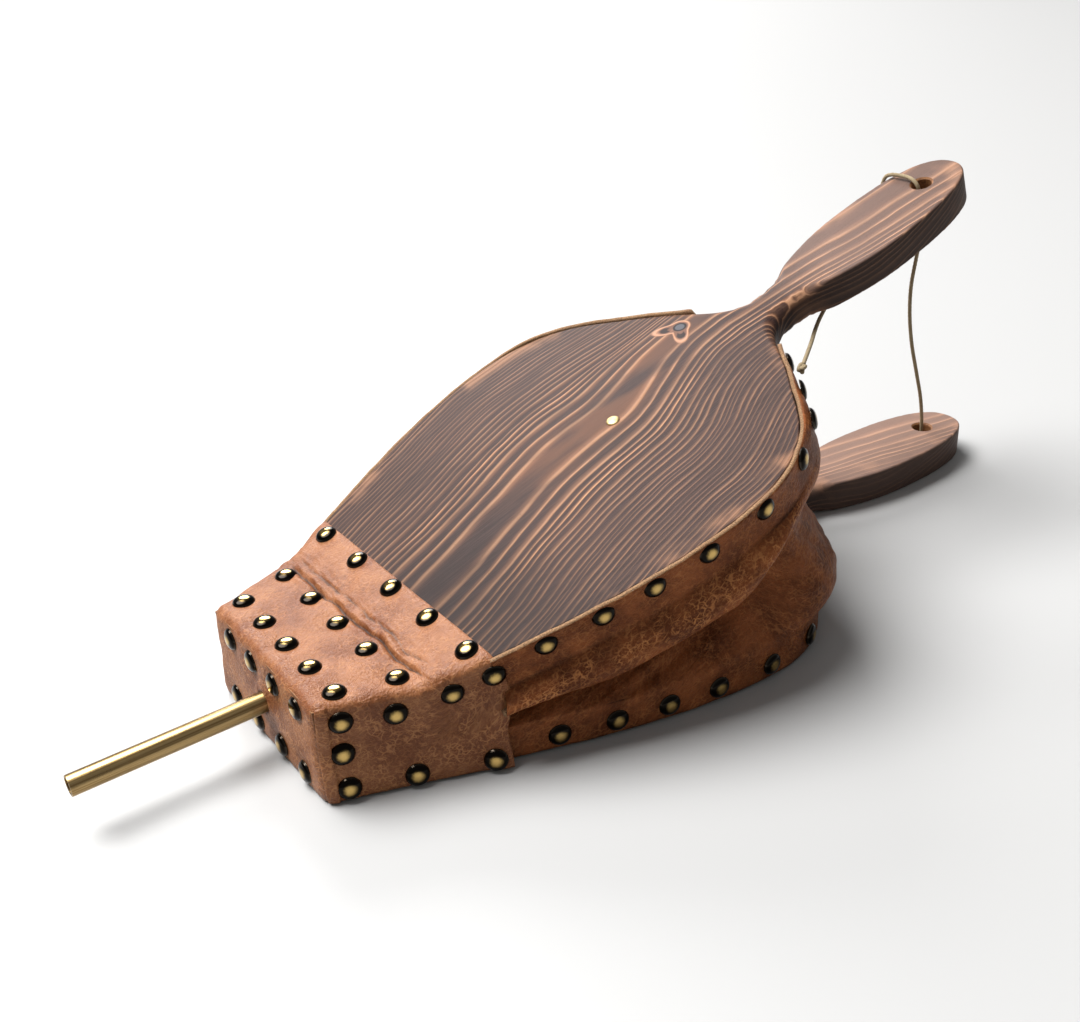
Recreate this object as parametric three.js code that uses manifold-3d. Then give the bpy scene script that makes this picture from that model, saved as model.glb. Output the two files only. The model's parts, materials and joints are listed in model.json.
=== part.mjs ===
// Hand bellows: two paddle-shaped boards, a nose block with a brass nozzle, a leather skirt nailed
// round the board edges, a leather hinge over the nose, an inlet valve and a hanging cord.
// Millimetres, +Z up, nozzle towards -X, handles towards +X, standing on z = 0.
import * as THREE from 'three';
import { mergeVertices } from 'three/addons/utils/BufferGeometryUtils.js';
import Module from 'manifold-3d';

const wasm = await Module();
wasm.setup();

// ---- driving dimensions ----------------------------------------------------------------------
const board = 18;            // thickness of both boards
const leather = 1.6;         // thickness of all leather
const gap = 0.3;             // clearance between pieces that touch
const tip = 473;             // front of the head to the end of the handles
const openAngle = THREE.MathUtils.degToRad(18.75);   // the upper board stands open at rest
const block = { front: leather, rear: 47.5, top: 46.6 };
const hinge = { x: 48.5, z: block.top + leather / 2 };
const coverEnd = 77;         // the head leather reaches this far along both boards
const nozzle = { outer: 5, inner: 4, out: 90, z: 24 };
const cordHole = { x: 447, radius: 5.6 };
const inlet = { x: 190, radius: 15 };
const flap = { width: 50, hem: 10 };
const centreTack = { x: 212.5, radius: 3.6 };
const rimStand = 2;          // the skirt's cut edge stands this far above the upper board's face
const skirtEnd = 298;        // beyond this the skirt leaves the board edge and passes the neck
const neckCross = 309;       // where the skirt crosses the middle line, under and over the necks
const cordRadius = 1.15;
const nail = { radius: 5.5, dome: 2.7, shank: 0.9, length: 12, facets: 8 };
const upperNailDepth = { right: 4.5, left: 8 };  // below the upper board's top face
const cheekNailDepth = 7;
const lowerNailHeight = 8;
const rimNailStart = 75;     // the rim nails are spaced along the edge from here
const upperNailGaps = [25, 27.5, 25.5, 28.5, 33, 33.5, 27, 23.5, 24.5];
const lowerNailGaps = [28, 27.5, 26, 26.5, 31, 30.5, 31, 27.5, 26];
// Slack leather holds the nails off the edge near the shoulder: most at x, fading over the width.
const gather = { upper: { x: 265, width: 18, most: 3.6 }, lower: { x: 255, width: 42, most: 4.2 } };
const slackShare = 0.8;      // how much of that room the skirt itself takes up
const middle = (tip - nozzle.out) / 2;   // the origin is under the middle of the whole length

// ---- materials -------------------------------------------------------------------------------
const looks = {
  wood: { color: 0x4a322a, roughness: 0.62, metalness: 0 },
  leather: { color: 0x9a5330, roughness: 0.5, metalness: 0 },
  brass: { color: 0xb08a45, roughness: 0.3, metalness: 1 },
  nail: { color: 0x2a231c, roughness: 0.22, metalness: 1 },
  twine: { color: 0xc9b592, roughness: 0.9, metalness: 0 },
};

function mesh(name, geometry, look) {
  const made = new THREE.Mesh(geometry, new THREE.MeshStandardMaterial(looks[look]));
  made.name = name;
  return made;
}

// ---- solids ----------------------------------------------------------------------------------
function toManifold(geometry) {
  const bare = geometry.clone();
  bare.deleteAttribute('normal');
  bare.deleteAttribute('uv');
  const merged = mergeVertices(bare, 1e-4);
  const vertProperties = new Float32Array(merged.attributes.position.array);
  const triVerts = new Uint32Array(merged.index.array);
  return new wasm.Manifold(new wasm.Mesh({ numProp: 3, vertProperties, triVerts }));
}

function toGeometry(manifold) {
  const made = manifold.getMesh();
  const geometry = new THREE.BufferGeometry();
  geometry.setAttribute('position', new THREE.BufferAttribute(made.vertProperties, 3));
  geometry.setIndex(new THREE.BufferAttribute(made.triVerts, 1));
  geometry.computeVertexNormals();
  return geometry;
}

function cut(geometry, tools) {
  let solid = toManifold(geometry);
  for (const tool of tools) solid = solid.subtract(toManifold(tool));
  return toGeometry(solid);
}

// Joins rings of equal length into one closed skin. Each ring is a closed loop of points, and
// capFaces gives the triangles that close the first and the last ring.
function loft(rings, capFaces) {
  const count = rings[0].length;
  const positions = rings.flat().flatMap((p) => [p.x, p.y, p.z]);
  const faces = [];
  for (let r = 0; r < rings.length - 1; r += 1) {
    for (let i = 0; i < count; i += 1) {
      const next = (i + 1) % count;
      const a = r * count + i;
      const b = r * count + next;
      faces.push(a, b, b + count, a, b + count, a + count);
    }
  }
  const last = (rings.length - 1) * count;
  for (const [a, b, c] of capFaces) {
    faces.push(c, b, a);
    faces.push(last + a, last + b, last + c);
  }
  const geometry = new THREE.BufferGeometry();
  geometry.setAttribute('position', new THREE.Float32BufferAttribute(positions, 3));
  geometry.setIndex(faces);
  geometry.computeVertexNormals();
  return geometry;
}

// A cylinder from base along direction.
function rod(base, direction, radius, length, facets) {
  const geometry = new THREE.CylinderGeometry(radius, radius, length, facets);
  const turn = new THREE.Quaternion().setFromUnitVectors(new THREE.Vector3(0, 1, 0), direction);
  geometry.translate(0, length / 2, 0);
  geometry.applyQuaternion(turn);
  geometry.translate(base.x, base.y, base.z);
  return geometry;
}

// ---- the paddle outline ------------------------------------------------------------------------
// One side of the board, from the front corner over the belly, the shoulder, the neck and the
// handle to its end. The other side mirrors it.
const side = new THREE.CurvePath();
const v2 = (x, y) => new THREE.Vector2(x, y);
side.add(new THREE.CubicBezierCurve(v2(0, 50), v2(50, 63.5), v2(133, 107), v2(202, 107)));
side.add(new THREE.CubicBezierCurve(v2(202, 107), v2(250, 107), v2(264, 78), v2(275, 64.4)));
side.add(new THREE.CubicBezierCurve(v2(275, 64.4), v2(301, 32.5), v2(304, 12.3), v2(330, 12.3)));
side.add(new THREE.CubicBezierCurve(v2(330, 12.3), v2(348, 12.3), v2(364, 24.7), v2(404, 24.7)));
side.add(new THREE.CubicBezierCurve(v2(404, 24.7), v2(444, 24.7), v2(tip, 19), v2(tip, 0)));
const sideLength = side.getLength();

// Arc length at which the side reaches a given x, by halving.
function arcAt(x) {
  let low = 0;
  let high = sideLength;
  for (let step = 0; step < 40; step += 1) {
    const mid = (low + high) / 2;
    if (side.getPointAt(mid / sideLength).x < x) low = mid;
    else high = mid;
  }
  return low;
}

// A point on the side at an arc length, pushed out along the outline's normal.
function sidePoint(arc, out = 0) {
  const at = Math.min(arc / sideLength, 1);
  const point = side.getPointAt(at);
  const tangent = side.getTangentAt(at);
  return v2(point.x - tangent.y * out, point.y + tangent.x * out);
}

// Edge rounding: nearly square under the leather, well rounded at the neck and crisp on the handle.
function edgeRadius(x) {
  const neck = THREE.MathUtils.smoothstep(x, 288, 318);
  const handle = THREE.MathUtils.smoothstep(x, 336, 356);
  return THREE.MathUtils.lerp(THREE.MathUtils.lerp(0.8, 7.5, neck), 1.3, handle);
}

// A board that starts at the given x, with its underside at z = 0.
function paddle(startX) {
  const start = arcAt(startX);
  const steps = 44;
  const arcs = [];
  for (let i = 0; i <= steps; i += 1) arcs.push(start + (sideLength - start) * (i / steps));
  const quarter = [0, 30, 60, 90].map((deg) => THREE.MathUtils.degToRad(deg));
  const levels = [
    ...quarter.map((a) => ({ inset: 1 - Math.sin(a), rise: 1 - Math.cos(a), face: 0 })),
    ...quarter.toReversed().map((a) => ({ inset: 1 - Math.sin(a), rise: Math.cos(a) - 1, face: board })),
  ];
  const rings = levels.map(({ inset, rise, face }) => {
    const near = arcs.map((arc) => {
      const radius = edgeRadius(sidePoint(arc).x);
      const p = sidePoint(arc, -inset * radius);
      return new THREE.Vector3(Math.max(p.x, startX), p.y, face + rise * radius);
    });
    near[steps].y = 0;
    const far = near.slice(0, steps).toReversed().map((p) => new THREE.Vector3(p.x, -p.y, p.z));
    return [...near, ...far].toReversed();
  });
  const outline = rings[0].map((p) => v2(p.x, p.y));
  return loft(rings, THREE.ShapeUtils.triangulateShape(outline, []));
}

// The stretch of the outline between two x values as a block, its sides pushed out by a distance.
function slab({ from, to, bottom, top, out = 0 }) {
  const steps = 6;
  const near = [];
  for (let i = 0; i <= steps; i += 1) {
    const x = THREE.MathUtils.lerp(from, to, i / steps);
    const edge = sidePoint(arcAt(Math.max(x, 0)), out);
    near.push(v2(x, edge.y));
  }
  const outline = [...near, ...near.toReversed().map((p) => v2(p.x, -p.y))].toReversed();
  const rings = [bottom, top].map((z) => outline.map((p) => new THREE.Vector3(p.x, p.y, z)));
  return loft(rings, THREE.ShapeUtils.triangulateShape(outline, []));
}

// ---- the two frames ----------------------------------------------------------------------------
// Everything on the upper board is drawn in its closed place, flat above the lower board, inside
// a group that swings about the leather hinge.
const bellows = new THREE.Group();
bellows.position.x = -middle;
const swing = new THREE.Group();
swing.position.set(hinge.x, 0, hinge.z);
swing.rotation.y = -openAngle;
const closed = new THREE.Group();
closed.position.set(-hinge.x, 0, -hinge.z);
swing.add(closed);
bellows.add(swing);

const opening = new THREE.Matrix4()
  .makeTranslation(hinge.x, 0, hinge.z)
  .multiply(new THREE.Matrix4().makeRotationY(-openAngle))
  .multiply(new THREE.Matrix4().makeTranslation(-hinge.x, 0, -hinge.z));

const up = new THREE.Vector3(0, 0, 1);
const v3 = (x, y, z) => new THREE.Vector3(x, y, z);

// ---- nails ---------------------------------------------------------------------------------------
// How far slack leather holds a nail's head off the edge at a given x, for the upper or lower row.
function slackAt(x, level) {
  const { x: middleX, width, most } = gather[level];
  return most * Math.exp(-(((x - middleX) / width) ** 2));
}

// A spot is where a nail goes: its head's seat, and the way it points.
function edgeSpot(arc, z, hand, level) {
  const edge = sidePoint(arc);
  const seat = sidePoint(arc, gap + leather + gap + slackAt(edge.x, level));
  const out = v3(seat.x - edge.x, hand * (seat.y - edge.y), 0).normalize();
  return { seat: v3(seat.x, hand * seat.y, z), out };
}

const hands = [{ name: 'right', hand: -1 }, { name: 'left', hand: 1 }];
const rimNailZ = {
  upper: { right: block.top - upperNailDepth.right, left: block.top - upperNailDepth.left },
  lower: { right: lowerNailHeight, left: lowerNailHeight },
};
const coverTop = block.top + gap + leather;

function rimArcs(gaps) {
  let arc = arcAt(rimNailStart);
  return gaps.map((step) => {
    arc += step;
    return arc;
  });
}

function rimSpots(label, gaps) {
  return hands.flatMap(({ name, hand }) => rimArcs(gaps).map((arc, i) => ({
    name: `${label}_rim_nail_${name}_${i + 1}`,
    ...edgeSpot(arc, rimNailZ[label][name], hand, label),
  })));
}

const upperRim = rimSpots('upper', upperNailGaps);
const lowerRim = rimSpots('lower', lowerNailGaps);

const cheekSpots = hands.flatMap(({ name, hand }) => [55.5, 73.5].map((x, i) => ({
  name: `cheek_nail_${name}_${i + 1}`,
  ...edgeSpot(arcAt(x), block.top - cheekNailDepth, hand, 'upper'),
})));

const flapRow = { x: 71.6, y: 65.6, count: 5 };
const flapSpots = Array.from({ length: flapRow.count }, (_, i) => ({
  name: `flap_nail_${i + 1}`,
  seat: v3(flapRow.x, flapRow.y * (1 - (2 * i) / (flapRow.count - 1)), coverTop + gap),
  out: up,
}));

const tackSpot = {
  name: 'centre_tack',
  seat: v3(centreTack.x, 0, block.top + gap),
  out: up,
};

// A head and its shank in one turned profile, drawn upright on the origin.
function pin({ radius, dome, shank, length, facets }) {
  const profile = [
    v2(0, -length),
    v2(shank, 1 - length),
    v2(shank, 0),
    v2(radius, 0),
    v2(radius, 0.15 * dome),
    v2(0.8 * radius, 0.55 * dome),
    v2(0.45 * radius, 0.88 * dome),
    v2(0, dome),
  ];
  return new THREE.LatheGeometry(profile, facets);
}

function driven(spot, size, look) {
  const made = mesh(spot.name, pin(size), look);
  made.position.copy(spot.seat);
  made.quaternion.setFromUnitVectors(v3(0, 1, 0), spot.out);
  return made;
}

// The clearance hole for a pin's shank.
function pinHole(spot, size) {
  const depth = size.length + gap;
  const base = spot.seat.clone().addScaledVector(spot.out, -depth);
  return rod(base, spot.out, size.shank + gap + 0.05, depth + 1, size.facets);
}

const tackPin = { radius: centreTack.radius, dome: 1.1, shank: 0.9, length: 10, facets: 12 };
const valvePin = { radius: 4, dome: 1.2, shank: 0.8, length: 9, facets: 10 };

// ---- wooden pieces -----------------------------------------------------------------------------
function lowerBoard() {
  const woodFront = block.front + gap;
  const cord = rod(v3(cordHole.x, 0, -1), up, cordHole.radius, board + 2, 20);
  const air = rod(v3(inlet.x, 0, -1), up, inlet.radius, board + 2, 28);
  const pins = lowerRim.map((spot) => pinHole(spot, nail));
  const tacks = valveTackSpots().map((spot) => pinHole(spot, valvePin));
  return cut(paddle(woodFront), [cord, air, ...pins, ...tacks]);
}

function upperBoard() {
  const geometry = paddle(hinge.x + 1);
  geometry.translate(0, 0, block.top - board);
  const cord = rod(v3(cordHole.x, 0, block.top - board - 1), up, cordHole.radius, board + 2, 20);
  const pins = [...upperRim, ...cheekSpots, ...flapSpots].map((spot) => pinHole(spot, nail));
  return cut(geometry, [cord, ...pins, pinHole(tackSpot, tackPin)]);
}

function headBlock() {
  const geometry = slab({ from: block.front + gap, to: block.rear, bottom: board, top: block.top });
  const bore = rod(v3(-1, 0, nozzle.z), v3(1, 0, 0), nozzle.outer + gap, block.rear + 2, 24);
  return cut(geometry, [bore]);
}

// ---- nozzle --------------------------------------------------------------------------------------
function nozzleTube() {
  const length = nozzle.out + block.rear;
  const profile = [
    v2(nozzle.inner, 0),
    v2(nozzle.outer, 0),
    v2(nozzle.outer, length - 0.5),
    v2(nozzle.outer - 0.4, length),
    v2(nozzle.inner, length),
    v2(nozzle.inner, 0),
  ];
  return new THREE.LatheGeometry(profile, 24);
}

// ---- leather on the head and over the hinge ---------------------------------------------------
function headCover() {
  const out = gap + leather;
  const cheekTop = block.top - board - 1;
  const over = slab({ from: 0, to: hinge.x - 0.5, bottom: 1, top: coverTop, out });
  const cheeks = slab({ from: 20, to: coverEnd, bottom: 1, top: cheekTop, out });
  const inside = slab({ from: leather, to: coverEnd + 3, bottom: -1, top: block.top + gap, out: gap });
  const bore = rod(v3(-1, 0, nozzle.z), v3(1, 0, 0), nozzle.outer + gap, 6, 24);
  const solid = toManifold(over).add(toManifold(cheeks));
  return cut(toGeometry(solid), [inside, bore]);
}

function hingeFlap() {
  const out = gap + leather;
  const skin = { from: hinge.x + 0.8, to: coverEnd, bottom: block.top - board + gap, top: coverTop, out };
  const inside = slab({ from: 40, to: coverEnd + 3, bottom: 0, top: block.top + gap, out: gap });
  const pins = [...cheekSpots, ...flapSpots].map((spot) => pinHole(spot, nail));
  return cut(slab(skin), [inside, ...pins]);
}

// ---- the leather skirt -------------------------------------------------------------------------
// How far the free leather between the boards stands out, from the upper board (0) to the lower
// (1): a bulge hangs under the upper board's edge, then one fold turns deep inwards.
const fall = [
  { at: 0.12, bulge: 0.8, fold: 0 },
  { at: 0.28, bulge: 1, fold: 0 },
  { at: 0.42, bulge: 0, fold: 0.35 },
  { at: 0.58, bulge: 0, fold: 1 },
  { at: 0.82, bulge: 0, fold: 0.3 },
];
const largestBulge = 6;
const deepestFold = 22;

// One closed cross-section of the skirt. edge(out) gives the plan point pushed out by a distance.
// passing is true where the leather crosses the necks and lies between the boards.
function skirtSection(edge, passing) {
  const under = block.top - board;
  const topZ = passing ? [under - gap, under - 3] : [block.top + rimStand, under];
  const bottomZ = passing ? [board + 3, board + gap] : [board, 1];
  const stand = (level) => (passing ? 0 : slackShare * slackAt(edge(0).x, level));
  const place = (out, z) => v3(edge(out).x, edge(out).y, z);
  const upper = (out, z) => place(out + stand('upper'), z).applyMatrix4(opening);
  const lower = (out, z) => place(out + stand('lower'), z);
  const height = upper(0, under).z - board;
  const bulge = Math.min(largestBulge, 0.25 * height);
  const fold = Math.min(deepestFold, 0.4 * height);
  const side3 = (out) => [
    ...topZ.map((z) => upper(out, z)),
    ...fall.map((step) => {
      const push = out + step.bulge * bulge - step.fold * fold;
      return upper(push, topZ[1]).lerp(lower(push, bottomZ[0]), step.at);
    }),
    ...bottomZ.map((z) => lower(out, z)),
  ];
  return [...side3(gap + leather), ...side3(gap).toReversed()];
}

function skirtSections() {
  const start = arcAt(coverEnd + 1.5);
  const end = arcAt(skirtEnd);
  const steps = 32;
  const sections = [];
  for (let i = 0; i <= steps; i += 1) {
    const arc = THREE.MathUtils.lerp(start, end, i / steps);
    sections.push(skirtSection((out) => sidePoint(arc, out), false));
  }
  const turnArc = end + 0.6;
  const first = sidePoint(turnArc, 0);
  const across = new THREE.QuadraticBezierCurve(first, v2(neckCross, 23), v2(neckCross, 0));
  for (let i = 0; i <= 4; i += 1) {
    const point = across.getPoint(i / 4);
    const tangent = i === 0 ? side.getTangentAt(turnArc / sideLength) : across.getTangent(i / 4);
    const edge = (out) => v2(point.x - tangent.y * out, point.y + tangent.x * out);
    sections.push(skirtSection(edge, true));
  }
  const mirrored = sections.slice(0, -1).toReversed();
  return [...sections, ...mirrored.map((ring) => ring.map((p) => v3(p.x, -p.y, p.z)))];
}

function skirt() {
  const sections = skirtSections();
  const half = sections[0].length / 2;
  const caps = [];
  for (let i = 0; i < half - 1; i += 1) {
    const inner = 2 * half - 1 - i;
    caps.push([i, i + 1, inner - 1], [i, inner - 1, inner]);
  }
  const upperHoles = upperRim.map((spot) => pinHole(spot, nail).applyMatrix4(opening));
  const lowerHoles = lowerRim.map((spot) => pinHole(spot, nail));
  return cut(outward(loft(sections, caps)), [...upperHoles, ...lowerHoles]);
}

// Turns a closed skin the right way out.
function outward(geometry) {
  const at = geometry.attributes.position;
  const index = geometry.index.array;
  const [a, b, c] = [v3(0, 0, 0), v3(0, 0, 0), v3(0, 0, 0)];
  let volume = 0;
  for (let i = 0; i < index.length; i += 3) {
    a.fromBufferAttribute(at, index[i]);
    b.fromBufferAttribute(at, index[i + 1]);
    c.fromBufferAttribute(at, index[i + 2]);
    volume += a.dot(b.cross(c));
  }
  if (volume < 0) geometry.setIndex([...index].toReversed());
  return geometry;
}

// ---- inlet valve ---------------------------------------------------------------------------------
// A leather flap over the air hole inside the lower board. Its hem is tacked down, and the rest
// lifts off the hole as the bellows open.
const valveHinge = { x: inlet.x - flap.width / 2, z: board + gap + leather / 2 };

function valveTackSpots() {
  const x = valveHinge.x - flap.hem / 2 - gap;
  return [-1, 1].map((hand, i) => ({
    name: `valve_tack_${i + 1}`,
    seat: v3(x, hand * flap.width * 0.32, board + leather + gap),
    out: up,
  }));
}

function valveFlap() {
  const half = flap.width / 2;
  const shape = new THREE.Shape();
  shape.moveTo(valveHinge.x, -half);
  shape.lineTo(inlet.x, -half);
  shape.absarc(inlet.x, 0, half, -Math.PI / 2, Math.PI / 2, false);
  shape.lineTo(valveHinge.x, half);
  const geometry = new THREE.ExtrudeGeometry(shape, { depth: leather, bevelEnabled: false, curveSegments: 12 });
  return geometry.translate(0, 0, board + gap);
}

function valveHem() {
  const geometry = new THREE.BoxGeometry(flap.hem, flap.width, leather);
  geometry.translate(valveHinge.x - flap.hem / 2 - gap, 0, board + leather / 2);
  return cut(geometry, valveTackSpots().map((spot) => pinHole(spot, valvePin)));
}

// ---- the cord ------------------------------------------------------------------------------------
// From its knot in the lower handle's hole, in a loose bow up through the upper handle's hole,
// over the left edge of that handle, and forward under it to a knot against the leather.
const cordRoute = [
  [447, 0, 8.8], [446.5, 0, 18], [445.4, 0, 27], [442.6, 0, 40], [437, 0, 57],
  [429.5, 0, 80], [425.6, 0, 100], [425, 0, 116], [427.3, 0, 131], [429.7, 0, 146],
  [429.2, 0, 156.5], [426.3, 0, 165.5], [423.6, 0.4, 173.6], [423.4, 3.4, 176.2],
  [424.6, 9, 176.9], [424.5, 15, 176.8], [423.9, 20, 176.4], [423.3, 23.1, 174.8],
  [422.4, 24.5, 170], [421.1, 24.8, 163], [419, 25.4, 155.6], [414.2, 24.2, 148.3],
  [403, 19.4, 143.2], [372, 6, 130.6], [341, -8, 119.1], [318, -24, 115.5], [300, -36.5, 113.4],
].map(([x, y, z]) => v3(x, y, z));
const endKnot = v3(296.5, -39, 113);

function cordTube() {
  const path = new THREE.CatmullRomCurve3(cordRoute, false, 'centripetal');
  const ring = Array.from({ length: 8 }, (_, i) => {
    const angle = (i * Math.PI) / 4;
    return v2(cordRadius * Math.cos(angle), cordRadius * Math.sin(angle));
  });
  return new THREE.ExtrudeGeometry(new THREE.Shape(ring), { steps: 80, extrudePath: path });
}

function knot(name, centre, radius, height, along) {
  const made = mesh(name, new THREE.SphereGeometry(1, 10, 8), 'twine');
  made.scale.set(radius, height, radius);
  made.position.copy(centre);
  made.quaternion.setFromUnitVectors(v3(0, 1, 0), along);
  return made;
}

// ---- assembly --------------------------------------------------------------------------------------
bellows.add(mesh('lower_board', lowerBoard(), 'wood'));
bellows.add(mesh('head_block', headBlock(), 'wood'));
bellows.add(mesh('head_cover', headCover(), 'leather'));
bellows.add(mesh('skirt', skirt(), 'leather'));
bellows.add(mesh('valve_flap', valveFlap(), 'leather'));
bellows.add(mesh('valve_hem', valveHem(), 'leather'));
for (const spot of valveTackSpots()) bellows.add(driven(spot, valvePin, 'brass'));

const tube = mesh('nozzle', nozzleTube(), 'brass');
tube.position.set(block.rear, 0, nozzle.z);
tube.rotation.z = Math.PI / 2;
bellows.add(tube);

closed.add(mesh('upper_board', upperBoard(), 'wood'));
closed.add(mesh('hinge_flap', hingeFlap(), 'leather'));
closed.add(driven(tackSpot, tackPin, 'brass'));
for (const spot of [...upperRim, ...cheekSpots, ...flapSpots]) closed.add(driven(spot, nail, 'nail'));
for (const spot of lowerRim) bellows.add(driven(spot, nail, 'nail'));

bellows.add(mesh('cord', cordTube(), 'twine'));
bellows.add(knot('cord_hole_knot', v3(cordHole.x, 0, 4.6), 5.1, 3.7, up));
const tailWay = endKnot.clone().sub(cordRoute.at(-2)).normalize();
bellows.add(knot('cord_end_knot', endKnot, 2.6, 3.4, tailWay));

export default bellows;
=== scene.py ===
"""Hand bellows: burnt pine boards, tan leather, brass nozzle, domed nails and a twine cord.

Shapes are worked out in millimetres from the front of the head (x), the middle line (y) and the
floor (z), and metres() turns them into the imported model's frame.
"""
import json
import math

import bpy
import numpy as np
from mathutils import Matrix, Vector, noise


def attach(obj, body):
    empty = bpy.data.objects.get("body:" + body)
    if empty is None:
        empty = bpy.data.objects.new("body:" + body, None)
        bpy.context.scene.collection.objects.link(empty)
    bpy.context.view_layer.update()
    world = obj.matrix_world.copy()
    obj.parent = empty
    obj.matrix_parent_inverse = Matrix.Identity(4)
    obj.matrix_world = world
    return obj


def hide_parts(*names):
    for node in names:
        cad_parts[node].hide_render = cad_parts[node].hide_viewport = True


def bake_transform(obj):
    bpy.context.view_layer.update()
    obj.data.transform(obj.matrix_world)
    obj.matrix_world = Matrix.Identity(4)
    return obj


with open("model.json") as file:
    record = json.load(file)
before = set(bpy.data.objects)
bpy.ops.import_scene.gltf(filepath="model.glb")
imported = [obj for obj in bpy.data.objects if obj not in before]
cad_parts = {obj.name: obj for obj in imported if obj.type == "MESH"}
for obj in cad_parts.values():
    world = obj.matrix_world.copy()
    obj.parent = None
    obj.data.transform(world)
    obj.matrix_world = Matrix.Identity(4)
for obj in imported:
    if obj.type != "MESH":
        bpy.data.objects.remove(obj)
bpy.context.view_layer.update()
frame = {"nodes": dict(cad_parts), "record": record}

# ---- dimensions, in millimetres ----
MM = 0.001
BOARD = 18.0
LEATHER = 1.6
GAP = 0.3  # air between the wood and the leather
TIP = 473.0  # the handles' ends
NOZZLE_OUT = 90.0  # from the front of the head to the nozzle's mouth
MIDDLE = (TIP - NOZZLE_OUT) / 2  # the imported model's origin
BLOCK = {"rear": 47.5, "top": 46.6}
UNDER = BLOCK["top"] - BOARD  # the upper board's underside in its closed place
OPEN = math.radians(18.75)  # how far the upper board is turned up from there
COVER_END = 77.0  # the cut edge of the hinge leather
COVER_TOP = BLOCK["top"] + GAP + LEATHER
NOZZLE = {"outer": 5.0, "inner": 4.0, "z": 24.0}
CORD_HOLE = {"x": 447.0, "radius": 5.6}
INLET = {"x": 190.0, "radius": 15.0}
NAIL = {"radius": 5.5, "dome": 2.7, "shank": 0.9, "length": 12.0}
TACK = {"x": 212.5, "radius": 3.6, "dome": 1.1, "shank": 0.9, "length": 10.0}
NAIL_SINK = 0.1  # how far a nail's head presses into the leather
RIM_NAIL_START = 75.0

# Distances round the edge from RIM_NAIL_START to each rim nail in turn.
RIM_GAPS = {
    "upper": (25, 27.5, 25.5, 28.5, 33, 33.5, 27, 23.5, 24.5),
    "lower": (28, 27.5, 26, 26.5, 31, 30.5, 31, 27.5, 26),
}

# The height of each row of rim nails: -1 is the right side and 1 the left.
RIM_NAIL_Z = {
    ("upper", -1): BLOCK["top"] - 4.5,
    ("upper", 1): BLOCK["top"] - 8.0,
    ("lower", -1): 8.0,
    ("lower", 1): 8.0,
}

# Where slack leather holds the nails' heads off the shoulder of each board.
GATHER = {
    "upper": {"x": 265.0, "width": 18.0, "most": 3.6},
    "lower": {"x": 255.0, "width": 42.0, "most": 4.2},
}
NAIL_OUT = GAP + LEATHER  # the leather's outer face, from the board's edge
STRIP_OUT = NAIL_OUT + 0.25
SKIRT = {"start": 75.5, "end": 301.0, "cross": 311.0, "thickness": 2.1, "flare": 1.3, "slack": 0.95}
KNOT = (285.5, 28.5)  # the knot in the upper board's wood

joint_at = {joint["name"]: joint["pos_m"] for joint in frame["record"]["behaviour"]["joints"]}
HINGE = (joint_at["board_hinge"][0] / MM + MIDDLE, joint_at["board_hinge"][2] / MM)


def metres(points):
    """Millimetres from the front of the head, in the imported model's frame."""
    return (np.asarray(points, float) - (MIDDLE, 0, 0)) * MM


def smooth(low, high, value):
    """0 below low, 1 above high, with an even curve between."""
    share = np.clip((np.asarray(value, float) - low) / (high - low), 0, 1)
    return share * share * (3 - 2 * share)


def between(first, second, share):
    return first * (1 - share) + second * share


def bump_at(value, centre, width):
    """A round bump of height 1 at the centre."""
    return np.exp(-(((value - centre) / width) ** 2))


def swing(points, share=1.0):
    """Turns points about the leather hinge by that share of the opening."""
    points = np.asarray(points, float)
    angle = np.asarray(share, float) * OPEN
    across, rise = points[..., 0] - HINGE[0], points[..., 2] - HINGE[1]
    turned = np.empty(np.broadcast(across, angle).shape + (3,))
    turned[..., 0] = HINGE[0] + across * np.cos(angle) - rise * np.sin(angle)
    turned[..., 1] = points[..., 1]
    turned[..., 2] = HINGE[1] + across * np.sin(angle) + rise * np.cos(angle)
    return turned


def facing(way):
    """The turn that points +Z along the way."""
    return Vector(way).to_track_quat("Z", "Y").to_matrix()


def ripple(x, y, z=0.0):
    """Perlin noise for arrays of places, from about -1 to 1."""
    x, y, z = np.broadcast_arrays(x, y, z)
    flat = [noise.noise(Vector(p)) for p in zip(x.ravel(), y.ravel(), z.ravel())]
    return np.array(flat).reshape(x.shape)


# ---- the paddle outline ----
SIDE = (
    ((0, 50), (50, 63.5), (133, 107), (202, 107)),
    ((202, 107), (250, 107), (264, 78), (275, 64.4)),
    ((275, 64.4), (301, 32.5), (304, 12.3), (330, 12.3)),
    ((330, 12.3), (348, 12.3), (364, 24.7), (404, 24.7)),
    ((404, 24.7), (444, 24.7), (TIP, 19), (TIP, 0)),
)


def bezier(corners, count):
    corners = np.asarray(corners, float)
    u = np.linspace(0, 1, count)[:, None]
    if len(corners) == 3:
        return (1 - u) ** 2 * corners[0] + 2 * u * (1 - u) * corners[1] + u**2 * corners[2]
    a, b, c, d = corners
    return (1 - u) ** 3 * a + 3 * u * (1 - u) ** 2 * b + 3 * u**2 * (1 - u) * c + u**3 * d


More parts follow.
